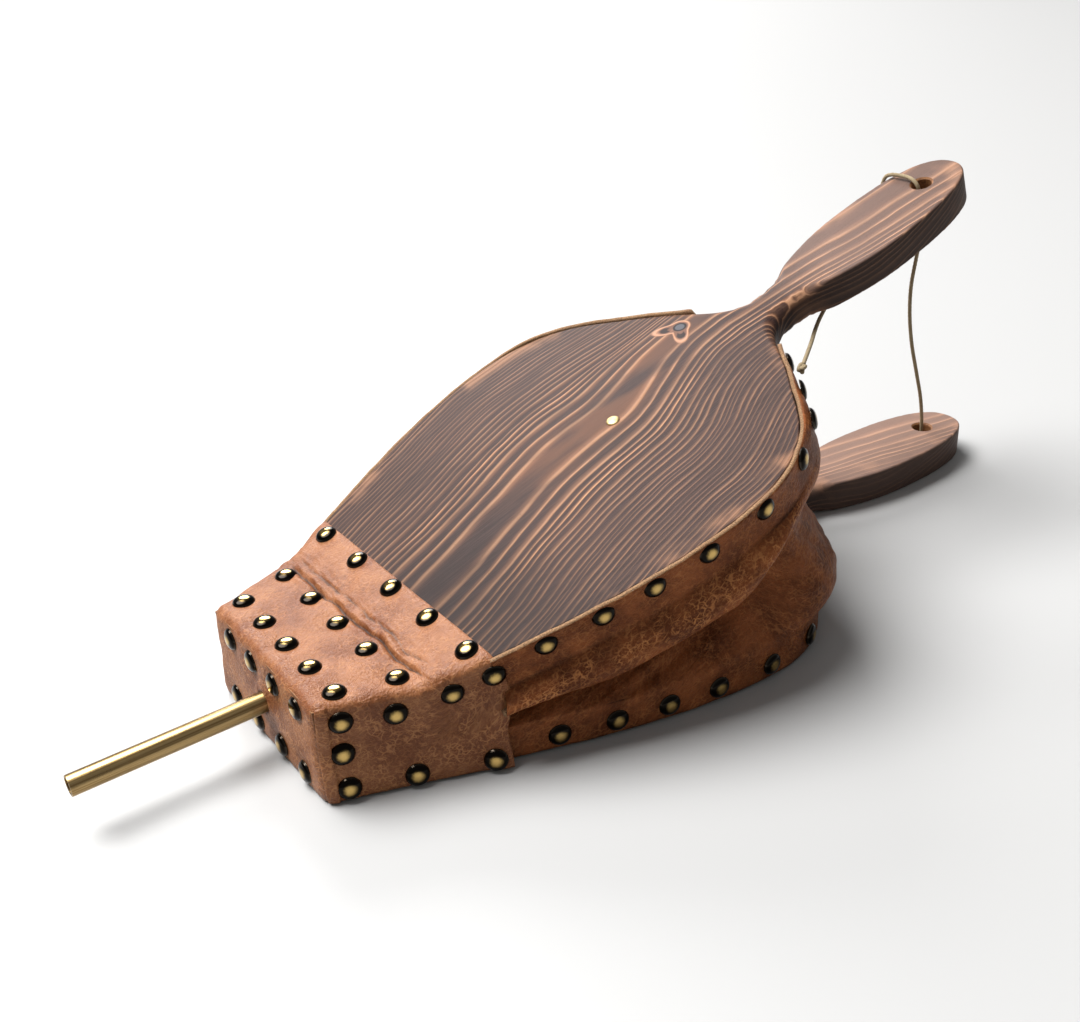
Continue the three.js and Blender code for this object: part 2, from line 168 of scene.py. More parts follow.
class Track:
    """A plan line that can be read by its length, with a distance out to its left."""

    def __init__(self, points):
        steps = np.hypot(*np.diff(points, axis=0).T)
        keep = np.concatenate([[True], steps > 1e-9])
        self.points = points[keep]
        self.arc = np.concatenate([[0], np.cumsum(steps[steps > 1e-9])])
        self.length = self.arc[-1]
        way = np.gradient(self.points, self.arc, axis=0)
        self.way = way / np.linalg.norm(way, axis=1)[:, None]

    def at(self, arc, out=0.0):
        x, y = (np.interp(arc, self.arc, self.points[:, k]) for k in (0, 1))
        tx, ty = (np.interp(arc, self.arc, self.way[:, k]) for k in (0, 1))
        size = np.hypot(tx, ty)
        return x - ty / size * out, y + tx / size * out

    def arc_at(self, x):
        return np.interp(x, self.points[:, 0], self.arc)


side = Track(np.vstack([bezier(corners, 160) for corners in SIDE]))


def half_width(x, out=0.0):
    return side.at(side.arc_at(np.maximum(x, 0)), out)[1]


def slack_at(x, level):
    """How far slack leather holds the rim nails' heads off the board's edge."""
    gather = GATHER[level]
    return gather["most"] * bump_at(x, gather["x"], gather["width"])


# ---- mesh helpers ----
def new_object(name, data):
    piece = bpy.data.objects.new(name, data)
    bpy.context.scene.collection.objects.link(piece)
    return piece


def add_mesh(name, points, faces, materials):
    """A smooth-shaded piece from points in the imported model's frame."""
    mesh = bpy.data.meshes.new(name)
    mesh.from_pydata([tuple(p) for p in points], [], [tuple(map(int, f)) for f in faces])
    mesh.validate()
    for material in materials:
        mesh.materials.append(material)
    mesh.polygons.foreach_set("use_smooth", np.ones(len(mesh.polygons), bool))
    return new_object(name, mesh)


def set_values(piece, name, values):
    """Stores a number or a vector at each vertex, for the materials to read."""
    values = np.asarray(values, np.float32)
    kind, field = ("FLOAT_VECTOR", "vector") if values.ndim == 2 else ("FLOAT", "value")
    attribute = piece.data.attributes.new(name, kind, "POINT")
    attribute.data.foreach_set(field, values.ravel())


def vertices_of(piece):
    flat = np.empty(len(piece.data.vertices) * 3, np.float32)
    piece.data.vertices.foreach_get("co", flat)
    return flat.reshape(-1, 3).astype(float)


def settle(piece):
    """Applies the piece's modifiers to its mesh."""
    graph = bpy.context.evaluated_depsgraph_get()
    made = bpy.data.meshes.new_from_object(piece.evaluated_get(graph))
    piece.modifiers.clear()
    piece.data = made


def cut_out(piece, cutter):
    """Cuts the cutter's shape out of the piece and deletes the cutter."""
    modifier = piece.modifiers.new("cut", "BOOLEAN")
    modifier.operation = "DIFFERENCE"
    modifier.solver = "EXACT"
    modifier.object = cutter
    bpy.context.view_layer.update()
    settle(piece)
    bpy.data.objects.remove(cutter)


def thicken(piece, thickness, rim_slot):
    """Gives a skin its thickness inwards, with its cut edges in their own material."""
    modifier = piece.modifiers.new("thickness", "SOLIDIFY")
    modifier.thickness = thickness * MM
    modifier.offset = -1
    modifier.material_offset = rim_slot
    modifier.material_offset_rim = rim_slot
    settle(piece)


def grid_faces(rows, columns):
    """Quads over a grid of points stored row by row."""
    r, c = np.meshgrid(np.arange(rows - 1), np.arange(columns - 1), indexing="ij")
    first = (r * columns + c).ravel()
    return np.stack([first, first + 1, first + columns + 1, first + columns], axis=1)


def ring_faces(rings, count):
    """Quads between closed rings stored one after another."""
    r, c = np.meshgrid(np.arange(rings - 1), np.arange(count), indexing="ij")
    r, c = r.ravel(), c.ravel()
    low, high = r * count, (r + 1) * count
    after = (c + 1) % count
    return np.stack([low + c, low + after, high + after, high + c], axis=1)


def end_faces(rings, count):
    """One face over each open end of a stack of rings."""
    last = (rings - 1) * count
    return [tuple(range(count))[::-1], tuple(range(last, last + count))]


def closing_faces(rings, count):
    """Quads from the last ring back to the first."""
    last = (rings - 1) * count
    return [(last + i, last + (i + 1) % count, (i + 1) % count, i) for i in range(count)]


def lathe(name, profile, materials, segments=48, closed=False):
    """A turned piece about +Z from (radius, height) pairs in millimetres.

    Its ends are on the axis, or the profile is a closed loop.
    """
    inner = [(r, z) for r, z in profile if r > 0]
    angles = np.linspace(0, 2 * math.pi, segments, endpoint=False)
    points = [(r * math.cos(a) * MM, r * math.sin(a) * MM, z * MM) for r, z in inner for a in angles]
    faces = [*ring_faces(len(inner), segments)]
    if closed:
        faces += closing_faces(len(inner), segments)
    last = (len(inner) - 1) * segments
    for radius, height, ring in ((*profile[0], 0), (*profile[-1], last)):
        if radius == 0:
            pole = len(points)
            points.append((0, 0, height * MM))
            loop = [(ring + i, ring + (i + 1) % segments) for i in range(segments)]
            faces += [(b, a, pole) if ring == 0 else (a, b, pole) for a, b in loop]
    return add_mesh(name, points, faces, materials)


# ---- material helpers ----
def srgb(code):
    """Linear red, green, blue and alpha from a hex code such as 'a05a32'."""
    parts = [int(code[k : k + 2], 16) / 255 for k in (0, 2, 4)]
    return *(p / 12.92 if p <= 0.04045 else ((p + 0.055) / 1.055) ** 2.4 for p in parts), 1


class Signal:
    """A node's output, whose arithmetic adds the nodes for it."""

    def __init__(self, shader, socket):
        self.shader = shader
        self.socket = socket

    def __add__(self, other):
        return self.shader.math("ADD", self, other)

    def __sub__(self, other):
        return self.shader.math("SUBTRACT", self, other)

    def __rsub__(self, other):
        return self.shader.math("SUBTRACT", other, self)

    def __mul__(self, other):
        return self.shader.math("MULTIPLY", self, other)

    def __truediv__(self, other):
        return self.shader.math("DIVIDE", self, other)

    def __abs__(self):
        return self.shader.math("ABSOLUTE", self)


class Shader:
    """One material's node tree. Most methods add a node and return its output as a Signal."""

    def __init__(self, name, **constants):
        self.material = bpy.data.materials.new(name)
        self.material.use_nodes = True
        self.tree = self.material.node_tree
        self.surface = self.tree.nodes["Principled BSDF"]
        for key, value in constants.items():
            self.surface.inputs[key.replace("_", " ")].default_value = value

    def put(self, socket, value):
        if isinstance(value, Signal):
            self.tree.links.new(value.socket, socket)
        else:
            socket.default_value = value

    def add(self, kind, inputs, output=0, **settings):
        node = self.tree.nodes.new(kind)
        for key, value in settings.items():
            setattr(node, key, value)
        for key, value in inputs.items():
            self.put(node.inputs[key], value)
        return Signal(self, node.outputs[output])

    def finish(self, **outputs):
        """Links each named output to the surface's socket of that name."""
        for key, value in outputs.items():
            self.put(self.surface.inputs[key.replace("_", " ")], value)
        return self.material

    def attribute(self, name, output="Fac"):
        return self.add("ShaderNodeAttribute", {}, output, attribute_name=name)

    def own_place(self):
        return self.add("ShaderNodeTexCoord", {}, "Object")

    def split(self, vector):
        node = self.tree.nodes.new("ShaderNodeSeparateXYZ")
        self.put(node.inputs[0], vector)
        return [Signal(self, output) for output in node.outputs]

    def join(self, x, y, z=0.0):
        return self.add("ShaderNodeCombineXYZ", {0: x, 1: y, 2: z})

    def math(self, operation, *values):
        return self.add("ShaderNodeMath", dict(enumerate(values)), operation=operation)

    def step(self, value, low, high):
        """A smooth step from 0 at low to 1 at high, either way round."""
        inputs = {0: value, 1: low, 2: high, 3: 0.0, 4: 1.0}
        return self.add("ShaderNodeMapRange", inputs, interpolation_type="SMOOTHSTEP")

    def span(self, value, low, high):
        """Maps 0 to 1 onto low to high."""
        return self.add("ShaderNodeMapRange", {0: value, 1: 0.0, 2: 1.0, 3: low, 4: high})

    def scaled(self, vector, scale):
        return self.add("ShaderNodeVectorMath", {0: vector, 1: scale}, operation="MULTIPLY")

    def moved(self, vector, offset):
        return self.add("ShaderNodeVectorMath", {0: vector, 1: offset}, operation="ADD")

    def noise(self, vector, scale, detail=2.0, rough=0.5, output="Fac"):
        inputs = {"Vector": vector, "Scale": scale, "Detail": detail, "Roughness": rough}
        return self.add("ShaderNodeTexNoise", inputs, output)

    def cells(self, vector, scale, feature="DISTANCE_TO_EDGE"):
        inputs = {"Vector": vector, "Scale": scale}
        return self.add("ShaderNodeTexVoronoi", inputs, "Distance", feature=feature)

    def ramp(self, value, stops, interpolation="LINEAR"):
        """A colour ramp from (place, hex code or grey) stops."""
        node = self.tree.nodes.new("ShaderNodeValToRGB")
        self.put(node.inputs[0], value)
        ramp = node.color_ramp
        ramp.interpolation = interpolation
        while len(ramp.elements) < len(stops):
            ramp.elements.new(0.5)
        for element, (place, colour) in zip(ramp.elements, stops):
            element.position = place
            element.color = srgb(colour) if isinstance(colour, str) else (colour, colour, colour, 1)
        return Signal(self, node.outputs["Color"])

    def mix(self, share, first, second):
        """One colour to the other by share; each is a Signal or a hex code."""
        first, second = (srgb(value) if isinstance(value, str) else value for value in (first, second))
        return self.add("ShaderNodeMix", {0: share, 6: first, 7: second}, 2, data_type="RGBA")

    def bump(self, height, distance, strength=1.0, under=None):
        inputs = {"Height": height, "Distance": distance, "Strength": strength}
        if under is not None:
            inputs["Normal"] = under
        return self.add("ShaderNodeBump", inputs)


# ---- burnt pine ----
RING = 2.6  # millimetres from one year's ring to the next
PITH_DEPTH = 52.0  # the tree's heart lay this far under the board's top face


def grain_line(s, x, y):
    """The height, across the board, of the middle of the grain at each place along it."""
    first = s.step(x, 38.0, 204.0) * 31.5
    reach = s.span(s.step(y, 8.0, 62.0), 25.0, -9.0)
    second = s.step(x, 212.0, 288.0) * reach
    handle = s.math("MAXIMUM", x - 300.0, 0.0) * -0.16
    return first + second + handle - 24.0


def pine_rings(s, plank, top):
    """(pale line, warm glow, share of the ring, the ring's own chance, distance from the grain's middle)."""
    x, y, z = s.split(plank)
    wander = (s.noise(s.scaled(plank, (0.016, 0.022, 0.02)), 1.0, 1.0) - 0.5) * 7.0
    jitter = (s.noise(s.scaled(plank, (0.07, 0.16, 0.1)), 1.0, 1.0) - 0.5) * 0.9
    across = y - grain_line(s, x, y) + (wander + jitter)
    depth = z + (PITH_DEPTH - top)
    radius = s.math("SQRT", across * across + depth * depth)
    spread = s.noise(s.join(radius * 0.13, 0.0), 1.0, 1.0)
    phase = radius / RING + spread * 2.4
    ring, share = s.math("FLOOR", phase), s.math("FRACT", phase)
    line = s.ramp(share, [(0.3, 0), (0.5, 0.3), (0.6, 1), (0.68, 0.8), (0.78, 0), (1, 0)])
    glow = s.ramp(share, [(0.12, 0), (0.58, 1), (0.9, 0)], "EASE")
    chance = s.add("ShaderNodeTexWhiteNoise", {"W": ring}, "Value", noise_dimensions="1D")
    return line, glow, share, chance, abs(across)


def draw_knot(s, x, y, colour, relief, fibre):
    """A small grey knot with a dark rim, in two pale-edged lobes that point to the nozzle."""
    dx, dy = KNOT[0] - x, y - KNOT[1]
    distance = s.math("SQRT", dx * dx + dy * dy)
    angle = abs(s.math("ARCTAN2", dy, dx) + 0.12)
    off = (angle - 0.8) / 0.45
    lobe = s.math("EXPONENT", off * off * -1.0)
    halo = distance / (lobe * 8.5 + 5.4)
    colour = s.mix(s.step(halo, 1.3, 0.95) * 0.8, colour, "6b4a3c")
    slot = s.step(halo, 0.42, 0.54) * s.step(halo, 0.84, 0.74)
    colour = s.mix(slot * s.step(lobe, 0.45, 0.8), colour, "271b19")
    edge = s.step(halo, 0.8, 0.98) * s.step(halo, 1.18, 1.02)
    colour = s.mix(edge * s.span(fibre, 0.7, 1.0), colour, "b08468")
    colour = s.mix(s.step(distance, 4.2, 3.4), colour, "191416")
    colour = s.mix(s.step(distance, 3.0, 2.2), colour, "4b4a4f")
    return colour, s.mix(s.step(distance, 34.0, 4.0), relief, edge * 0.7)


def wear_and_painted_light(s, x, y, plank, share, painted_sheen, colour):
    """Worn pale at the rim, painted sheen on the handle, painted shade (partly char) on the flanks, and
    darker near the flap.
    """
    stops = [(k / TIP, float(half_width(k)) / 120) for k in np.linspace(0, TIP, 24)]
    half = s.ramp(x / TIP, stops) * 120.0
    rim = half - abs(y)
    worn = s.step(rim, 13.0, 1.0) * s.step(s.noise(plank, 0.035, 2.0), 0.5, 0.68)
    colour = s.mix(worn * s.span(share, 0.4, 0.95), colour, "90684e")
    # painted sheen: the handles lightened towards pale grey-pink where soft reflection lies on them
    colour = s.mix(s.step(x, 315.0, 375.0) * painted_sheen, colour, "a5887a")
    # painted shade, partly the flanks' own char: steep faces darkened towards near black
    colour = s.mix(s.attribute("flank_shade_and_char") * 0.62, colour, "100a0a")
    # darker towards the front of the board on its near side
    near_front_darkening = s.step(x, 150.0, 85.0) * s.step(y, 40.0, -30.0)
    return s.mix(near_front_darkening * 0.55, colour, "1b1312")


def burnt_pine(name, shift, top, knotty, painted_sheen):
    """Scorched and brushed pine: dark early wood between raised pale rings, as a solid texture."""
    s = Shader(name, Specular_IOR_Level=0.09)
    plank = s.moved(s.attribute("plank", "Vector"), shift)
    x, y, _ = s.split(plank)
    line, glow, share, chance, across = pine_rings(s, plank, top)
    patches = s.noise(s.scaled(plank, (0.02, 0.09, 0.05)), 1.0, 2.0)
    strength = s.span(chance, 0.35, 1.0) * s.span(s.step(across, 62.0, 34.0), 0.4, 1.0)
    strength = strength * s.span(s.step(patches, 0.3, 0.62), 0.45, 1.0)
    fibre = s.noise(s.scaled(plank, (0.05, 2.2, 2.2)), 1.0, 3.0, 0.6)
    smoke = s.noise(s.scaled(plank, (0.012, 0.03, 0.03)), 1.0, 2.0)
    colour = s.mix(smoke, "1d1311", "392824")
    colour = s.mix(s.step(fibre, 0.35, 0.75), colour, "43312c")
    warm = s.step(x, 120.0, 190.0) * s.step(x, 330.0, 250.0)
    warm = warm * s.step(across, 24.0, 6.0) * 0.6
    colour = s.mix(warm * s.step(patches, 0.3, 0.6), colour, "66432f")
    colour = s.mix(glow * (strength * 0.75), colour, "724630")
    colour = s.mix(line * strength, colour, "bb8e6c")
    relief = line * strength + fibre * 0.35
    if knotty:
        colour, relief = draw_knot(s, x, y, colour, relief, fibre)
    colour = wear_and_painted_light(s, x, y, plank, share, painted_sheen, colour)
    speck = s.noise(plank, 1.6, 2.0, 0.7)
    colour = s.mix(s.step(speck, 0.62, 0.8), colour, "191211")
    normal = s.bump(relief, 0.00035, 0.9)
    return s.finish(Base_Color=colour, Roughness=s.span(fibre, 0.42, 0.62), Normal=normal)


def raw_pine(name):
    """Unburnt wood inside the drilled holes and under the leather."""
    s = Shader(name, Roughness=0.75)
    place = s.own_place()
    streak = s.noise(s.scaled(place, (60.0, 900.0, 900.0)), 1.0, 3.0)
    colour = s.ramp(streak, [(0.3, "5c3315"), (0.7, "895c32")])
    return s.finish(Base_Color=colour, Normal=s.bump(streak, 0.0002))


# ---- leather ----
def crackle(s, hide, size, width):
    """Thin broken lines round cells of that size."""
    bent = s.noise(hide, 0.45 / size, 2.0, output="Color")
    place = s.moved(hide, s.scaled(bent, (size * 1.3,) * 3))
    lines = s.step(s.cells(s.scaled(place, (0.75, 1.15, 1.15)), 1.0 / size), width, width * 0.25)
    return lines * s.step(s.noise(hide, 1.0 / size, 1.0), 0.38, 0.52)


def leather(name, pale, deep, vein, sheen):
    """Oiled leather: mottled tan with pale scratchy stress lines, and painted shade darkening its creases.
    """
    s = Shader(name, IOR=1.46, Specular_IOR_Level=sheen)
    hide = s.attribute("hide", "Vector")
    mottle = s.noise(hide, 0.05, 4.0, 0.55)
    fine = s.noise(hide, 0.6, 3.0, 0.6)
    colour = s.mix(s.step(mottle, 0.34, 0.66), deep, pale)
    colour = s.mix(s.step(fine, 0.45, 0.8) * 0.35, colour, "44200f")
    veins = s.math("MAXIMUM", crackle(s, hide, 2.8, 0.12), crackle(s, hide, 1.4, 0.14) * 0.65)
    where = s.span(s.step(s.noise(hide, 0.09, 2.0), 0.36, 0.6), 0.35, 1.0)
    stress = veins * where * s.attribute("stress")
    colour = s.mix(stress * 0.85, colour, vein)
    # painted shade: the bottoms of folds darkened towards near black
    colour = s.mix(s.attribute("crease_shade") * 0.85, colour, "1e0c06")
    grain = s.cells(hide, 1.15, "SMOOTH_F1")
    folds = s.noise(s.scaled(hide, (0.12, 0.45, 0.45)), 1.0, 3.0, 0.6)
    normal = s.bump(folds, 0.0009, 0.5)
    normal = s.bump(grain * -0.6 + fine * 0.5, 0.00035, 1.0, normal)
    normal = s.bump(veins, 0.00022, 0.6, normal)
    return s.finish(Base_Color=colour, Roughness=s.span(fine, 0.36, 0.56), Normal=normal)


def raw_leather(name):
    """The cut edge and the flesh side: pale, fibrous and speckled."""
    s = Shader(name, Roughness=0.9)
    place = s.own_place()
    fibre = s.noise(place, 1500.0, 3.0, 0.7)
    blotch = s.noise(place, 180.0, 2.0)
    colour = s.ramp(fibre, [(0.3, "44301d"), (0.5, "7d5c3d"), (0.72, "a5835e")])
    colour = s.mix(s.step(blotch, 0.5, 0.7) * 0.5, colour, "75533a")
    return s.finish(Base_Color=colour, Normal=s.bump(fibre, 0.0004))


# ---- metal and twine ----
def nail_metal(name):
    """Antique brass: black in the hollow of the rim, pale gold on the top of the dome, partly wear and
    partly a painted reflection.
    """
    s = Shader(name, Metallic=1.0)
    reach = s.attribute("reach")
    place = s.own_place()
    smear = s.noise(place, 420.0, 3.0, 0.6)
    # the pale gold top of the dome is partly wear and partly a painted reflection of the bright floor and
    # lamps
    crown_wear_and_reflection = s.step(reach + (smear - 0.5) * 0.3, 0.64, 0.14)
    colour = s.mix(crown_wear_and_reflection, "1a1714", "c6a665")
    lip = s.step(reach, 0.88, 0.97) * 0.5
    colour = s.mix(lip, colour, "4e453b")
    scratch = s.noise(place, 2600.0, 2.0)
    return s.finish(
        Base_Color=colour,
        Roughness=s.span(smear, 0.05, 0.14),
        Normal=s.bump(scratch, 0.00004, 0.5),
    )


def drawn_brass(name):
    """Satin brass with draw lines along the tube and a few darker handling marks."""
    s = Shader(name, Metallic=1.0)
    place = s.own_place()
    draw = s.noise(s.scaled(place, (14.0, 1800.0, 1800.0)), 1.0, 3.0)
    marks = s.noise(place, 65.0, 4.0, 0.6)
    colour = s.ramp(draw, [(0.3, "80663f"), (0.7, "b3986a")])
    colour = s.mix(s.step(marks, 0.52, 0.72) * 0.45, colour, "6e5530")
    return s.finish(
        Base_Color=colour,
        Roughness=s.span(marks, 0.22, 0.4),
        Normal=s.bump(draw, 0.00006, 0.5),
    )


def tack_brass(name):
    """The pale, dulled brass of the small tacks."""
    s = Shader(name, Metallic=1.0)
    place = s.own_place()
    marks = s.noise(place, 500.0, 3.0)
    colour = s.ramp(marks, [(0.3, "8a744a"), (0.7, "c9b483")])
    return s.finish(Base_Color=colour, Roughness=s.span(marks, 0.4, 0.6))


def jute(name):
    """Plain jute fibres that follow the strands."""
    s = Shader(name, Roughness=0.92)
    place = s.attribute("strand", "Vector")
    fibre = s.noise(s.scaled(place, (0.25, 7.0, 1.0)), 1.0, 3.0, 0.7)
    tone = s.noise(place, 0.3, 2.0)
    colour = s.ramp(fibre, [(0.28, "685538"), (0.5, "928164"), (0.75, "a99e86")])
    colour = s.mix(s.step(tone, 0.45, 0.7) * 0.4, colour, "7b6849")
    return s.finish(Base_Color=colour, Normal=s.bump(fibre, 0.0002, 0.8))


def pale_floor(name):
    s = Shader(name, Roughness=0.5)
    s.surface.inputs["Base Color"].default_value = (0.4, 0.398, 0.394, 1)
    return s.material


# The last number of each is how much painted sheen its handle gets.
upper_pine = burnt_pine("burnt_pine_upper", (0.0, 0.0, 0.0), BLOCK["top"], True, 0.25)
lower_pine = burnt_pine("burnt_pine_lower", (7.0, -10.0, 0.0), BOARD, False, 0.45)
plain_pine = raw_pine("raw_pine")
head_leather = leather("head_leather", "8f5b38", "703e20", "b98052", 0.3)
skirt_leather = leather("skirt_leather", "8a4e29", "5a2d14", "c58450", 0.15)
cut_leather = raw_leather("cut_leather")
nail_finish = nail_metal("nail_finish")
brass_finish = drawn_brass("brass_finish")
tack_finish = tack_brass("tack_finish")
jute_finish = jute("jute_finish")


# ---- boards ----
def arris_radius(x):
    """Edge rounding: nearly square under the leather, round at the neck and crisp on the handle."""
    body = 0.8 + (7.5 - 0.8) * smooth(288, 318, x)
    return body + (1.3 - body) * smooth(336, 356, x)


def paddle(name, start_x, underside, materials):
    """A board with its top face at underside + BOARD, in its closed place."""
    arcs = np.linspace(side.arc_at(start_x), side.length, 230)
    x_mid, _ = side.at(arcs)
    uneven = 0.2 * ripple(x_mid / 14, underside / 9) + 0.35 * ripple(x_mid / 3.1, underside / 9)
    radius = arris_radius(x_mid) * (1 + uneven * smooth(300, 330, x_mid))
    top = underside + BOARD
    face_inset = radius + 1.5

    def ring(inset, z):
        x, y = side.at(arcs, -inset)
        x = np.maximum(x, start_x)
        near = np.stack([x, -y, np.broadcast_to(z, x.shape)], axis=1)
        near[-1, 1] = 0
        return np.vstack([near, near[-2::-1] * (1, -1, 1)])

    turns = np.radians(np.linspace(0, 90, 8))
    rings = [ring(face_inset, underside)]
    rings += [ring((1 - math.sin(a)) * radius, underside + (1 - math.cos(a)) * radius) for a in turns]
    rings += [ring((1 - math.sin(a)) * radius, top - (1 - math.cos(a)) * radius) for a in turns[::-1]]
    rings.append(ring(face_inset, top))
    count = len(rings[0])
    faces = [*ring_faces(len(rings), count), *end_faces(len(rings), count)]
    return add_mesh(name, metres(np.vstack(rings)), faces, materials)


def hole_cutter(x, radius, bottom, top):
    """A cutter for a drilled hole with softened mouths."""
    ease = 0.9
    profile = [(0, bottom - 5), (radius + ease + 5, bottom - 5), (radius, bottom + ease)]
    profile += [(radius, top - ease), (radius + ease + 5, top + 5), (0, top + 5)]
    cutter = lathe("cutter", profile, [plain_pine], 40)
    cutter.location = metres((x, 0, 0))
    return cutter


def finish_board(piece, holes):
    """Marks the wood's own coordinates, its steep flanks for painted shade, and the raw walls of its holes.
    """
    places = vertices_of(piece) / MM + (MIDDLE, 0, 0)
    mesh = piece.data
    normals = np.empty(len(mesh.vertices) * 3, np.float32)
    mesh.vertices.foreach_get("normal", normals)
    tilt = np.abs(normals.reshape(-1, 3)[:, 2])
    set_values(piece, "plank", places)
    set_values(piece, "flank_shade_and_char", smooth(0.85, 0.2, tilt))
    for face in mesh.polygons:
        at = Vector(face.center) / MM + Vector((MIDDLE, 0, 0))
        for x, radius in holes:
            inside = math.hypot(at.x - x, at.y) < radius + 1.2
            face.material_index = 1 if inside and abs(face.normal.z) < 0.9 else face.material_index
    mesh.set_sharp_from_angle(angle=math.radians(35))


def lower_board():
    piece = paddle("lower_paddle", LEATHER + GAP, 0.0, [lower_pine, plain_pine])
    for hole in (CORD_HOLE, INLET):
        cut_out(piece, hole_cutter(hole["x"], hole["radius"], 0.0, BOARD))
    finish_board(piece, [(CORD_HOLE["x"], CORD_HOLE["radius"]), (INLET["x"], INLET["radius"])])
    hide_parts("lower_board")
    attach(piece, "root")


def upper_board():
    piece = paddle("upper_paddle", HINGE[0] + 1, UNDER, [upper_pine, plain_pine])
    cut_out(piece, hole_cutter(CORD_HOLE["x"], CORD_HOLE["radius"], UNDER, BLOCK["top"]))
    finish_board(piece, [(CORD_HOLE["x"], CORD_HOLE["radius"])])
    pivot = Matrix.Translation(metres((HINGE[0], 0, HINGE[1])))
    turn = Matrix.Rotation(-OPEN, 4, "Y")
    piece.data.transform(pivot @ turn @ pivot.inverted())
    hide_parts("upper_board")
    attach(piece, "upper_board")


lower_board()
upper_board()

# ---- nails ----
def nail_mesh():
    """A domed head with a thin rolled lip, on its shank, seated at the origin and facing +Z."""
    radius, dome, shank, length = (NAIL[k] for k in ("radius", "dome", "shank", "length"))
    profile = [(0, -length), (shank, 1.2 - length), (shank, 0.05), (radius - 0.5, 0.05)]
    profile += [(radius, 0.2), (radius, 0.45), (radius - 0.2, 0.62)]
    for turn in np.radians(np.linspace(8, 90, 12)):
        profile.append(((radius - 0.3) * math.cos(turn), 0.62 + (dome - 0.62) * math.sin(turn)))
    profile[-1] = (0, dome)
    piece = lathe("nail", profile, [nail_finish], 40)
    places = vertices_of(piece) / MM
    reach = np.hypot(places[:, 0], places[:, 1]) / radius
    set_values(piece, "reach", np.where(places[:, 2] > 0.6, reach, 1.0))
    mesh = piece.data
    bpy.data.objects.remove(piece)
    return mesh


nail_shape = nail_mesh()


def drive(name, seat, out, body, stands_for=None):
    """Sets a nail with its head on seat (millimetres) and facing out."""
    piece = new_object(name, nail_shape)
    spin = Matrix.Rotation(noise.noise(Vector(seat) * 0.31) * math.pi, 4, "Z")
    piece.matrix_world = Matrix.Translation(metres(seat)) @ facing(out).to_4x4() @ spin
    if stands_for:
        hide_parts(stands_for)
    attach(piece, body)
    return piece


def edge_spot(arc, z, hand, level):
    """A seat on the leather round the board's edge, and the way it faces."""
    x0, y0 = side.at(arc)
    x, y = side.at(arc, NAIL_OUT - NAIL_SINK + slack_at(x0, level))
    way = np.array([x - x0, hand * (y - y0), 0])
    return np.array([x, hand * y, z]), way / np.linalg.norm(way)


HANDS = (("right", -1), ("left", 1))


def rim_seats(level, hand):
    """The seats and directions of one row of rim nails, in their places at rest."""
    share = 1 if level == "upper" else 0
    for arc in side.arc_at(RIM_NAIL_START) + np.cumsum(RIM_GAPS[level]):
        seat, way = edge_spot(arc, RIM_NAIL_Z[level, hand], hand, level)
        tip, seat = swing(seat + way, share), swing(seat, share)
        yield seat, tip - seat


def rim_nails():
    for level, body in (("upper", "upper_board"), ("lower", "root")):
        for hand_name, hand in HANDS:
            for number, (seat, way) in enumerate(rim_seats(level, hand), 1):
                name = f"{level}_nail_{hand_name}_{number}"
                drive(name, seat, way, body, f"{level}_rim_nail_{hand_name}_{number}")


# ---- leather over the head and the hinge ----
HEAD = {"half": 50.0, "bottom": 1.0, "round": 4.6, "lean": 2.0, "seam": 5.3, "lap": 1.5}
TOP_NAIL_ROWS = ((14.0, 46.2), (41.2, 54.5))
FLAP_NAIL_ROW = (71.6, 65.6)
FRONT_NAILS = {"heights": (39.5, 6.8), "across": (-34.1, -11.4, 11.4, 34.1)}
SIDE_NAILS = ((10, 6.6), (10, 23.5), (11, 39.5), (34, 38), (38, 6.0), (70, 6.2))
CHEEK_NAILS = {"along": (55.5, 73.5), "height": BLOCK["top"] - 7.5}


def lines(*stretches):
    """Places along an edge: (start, end, spacing) stretches joined end to end."""
    parts = []
    for start, end, gap in stretches:
        count = max(int(round((end - start) / gap)), 1)
        parts.append(np.linspace(start, end, count, endpoint=False))
    return np.append(np.concatenate(parts), stretches[-1][1])


def head_surface(along, over, height):
    """The leather's outer face in its closed place, from places on a plain box."""
    half, top, ease = HEAD["half"], COVER_TOP, HEAD["round"]
    box = np.stack(np.broadcast_arrays(along, over, height), axis=-1).astype(float)
    core = np.clip(box, (ease, ease - half, -np.inf), (np.inf, half - ease, top - ease))
    reach = box - core
    size = np.linalg.norm(reach, axis=-1, keepdims=True)
    place = np.where(size > 1e-9, core + reach * ease / np.maximum(size, 1e-9), box)
    lap = HEAD["lap"] * smooth(64, 73, place[..., 0]) * smooth(half - 8, half - 1, np.abs(place[..., 1]))
    lap = lap * (1 - 0.45 * smooth(UNDER - 6, UNDER + 4, place[..., 2]))
    width = half_width(place[..., 0], NAIL_OUT) + lap
    foot = smooth(30, 0, place[..., 2])
    place[..., 1] *= width / half * (1 + 0.065 * foot)
    place[..., 0] += HEAD["lean"] * place[..., 2] / top * smooth(30, 0, place[..., 0])
    return place


def head_share(place):
    """How far each place follows the upper board: 0 on the head, 1 beyond the hinge."""
    beyond = smooth(HINGE[0] - 2.5, HINGE[0] + 3.5, place[..., 0])
    return beyond * smooth(BOARD, UNDER + 1, place[..., 2])


def head_normal(box):
    """The outward direction of the head's leather at a place on its box."""
    box = np.array(box, float)
    face = 0 if box[0] <= 0 else 1 if abs(box[1]) >= HEAD["half"] else 2
    slopes = []
    for nudge in 0.5 * np.delete(np.eye(3), face, axis=0):
        slopes.append(head_surface(*(box + nudge)) - head_surface(*(box - nudge)))
    normal = np.cross(*slopes)
    middle = np.array((BLOCK["rear"], 0, BLOCK["top"])) / 2
    outward = np.sign(normal[face] * (box - middle)[face])
    return outward * normal / np.linalg.norm(normal)


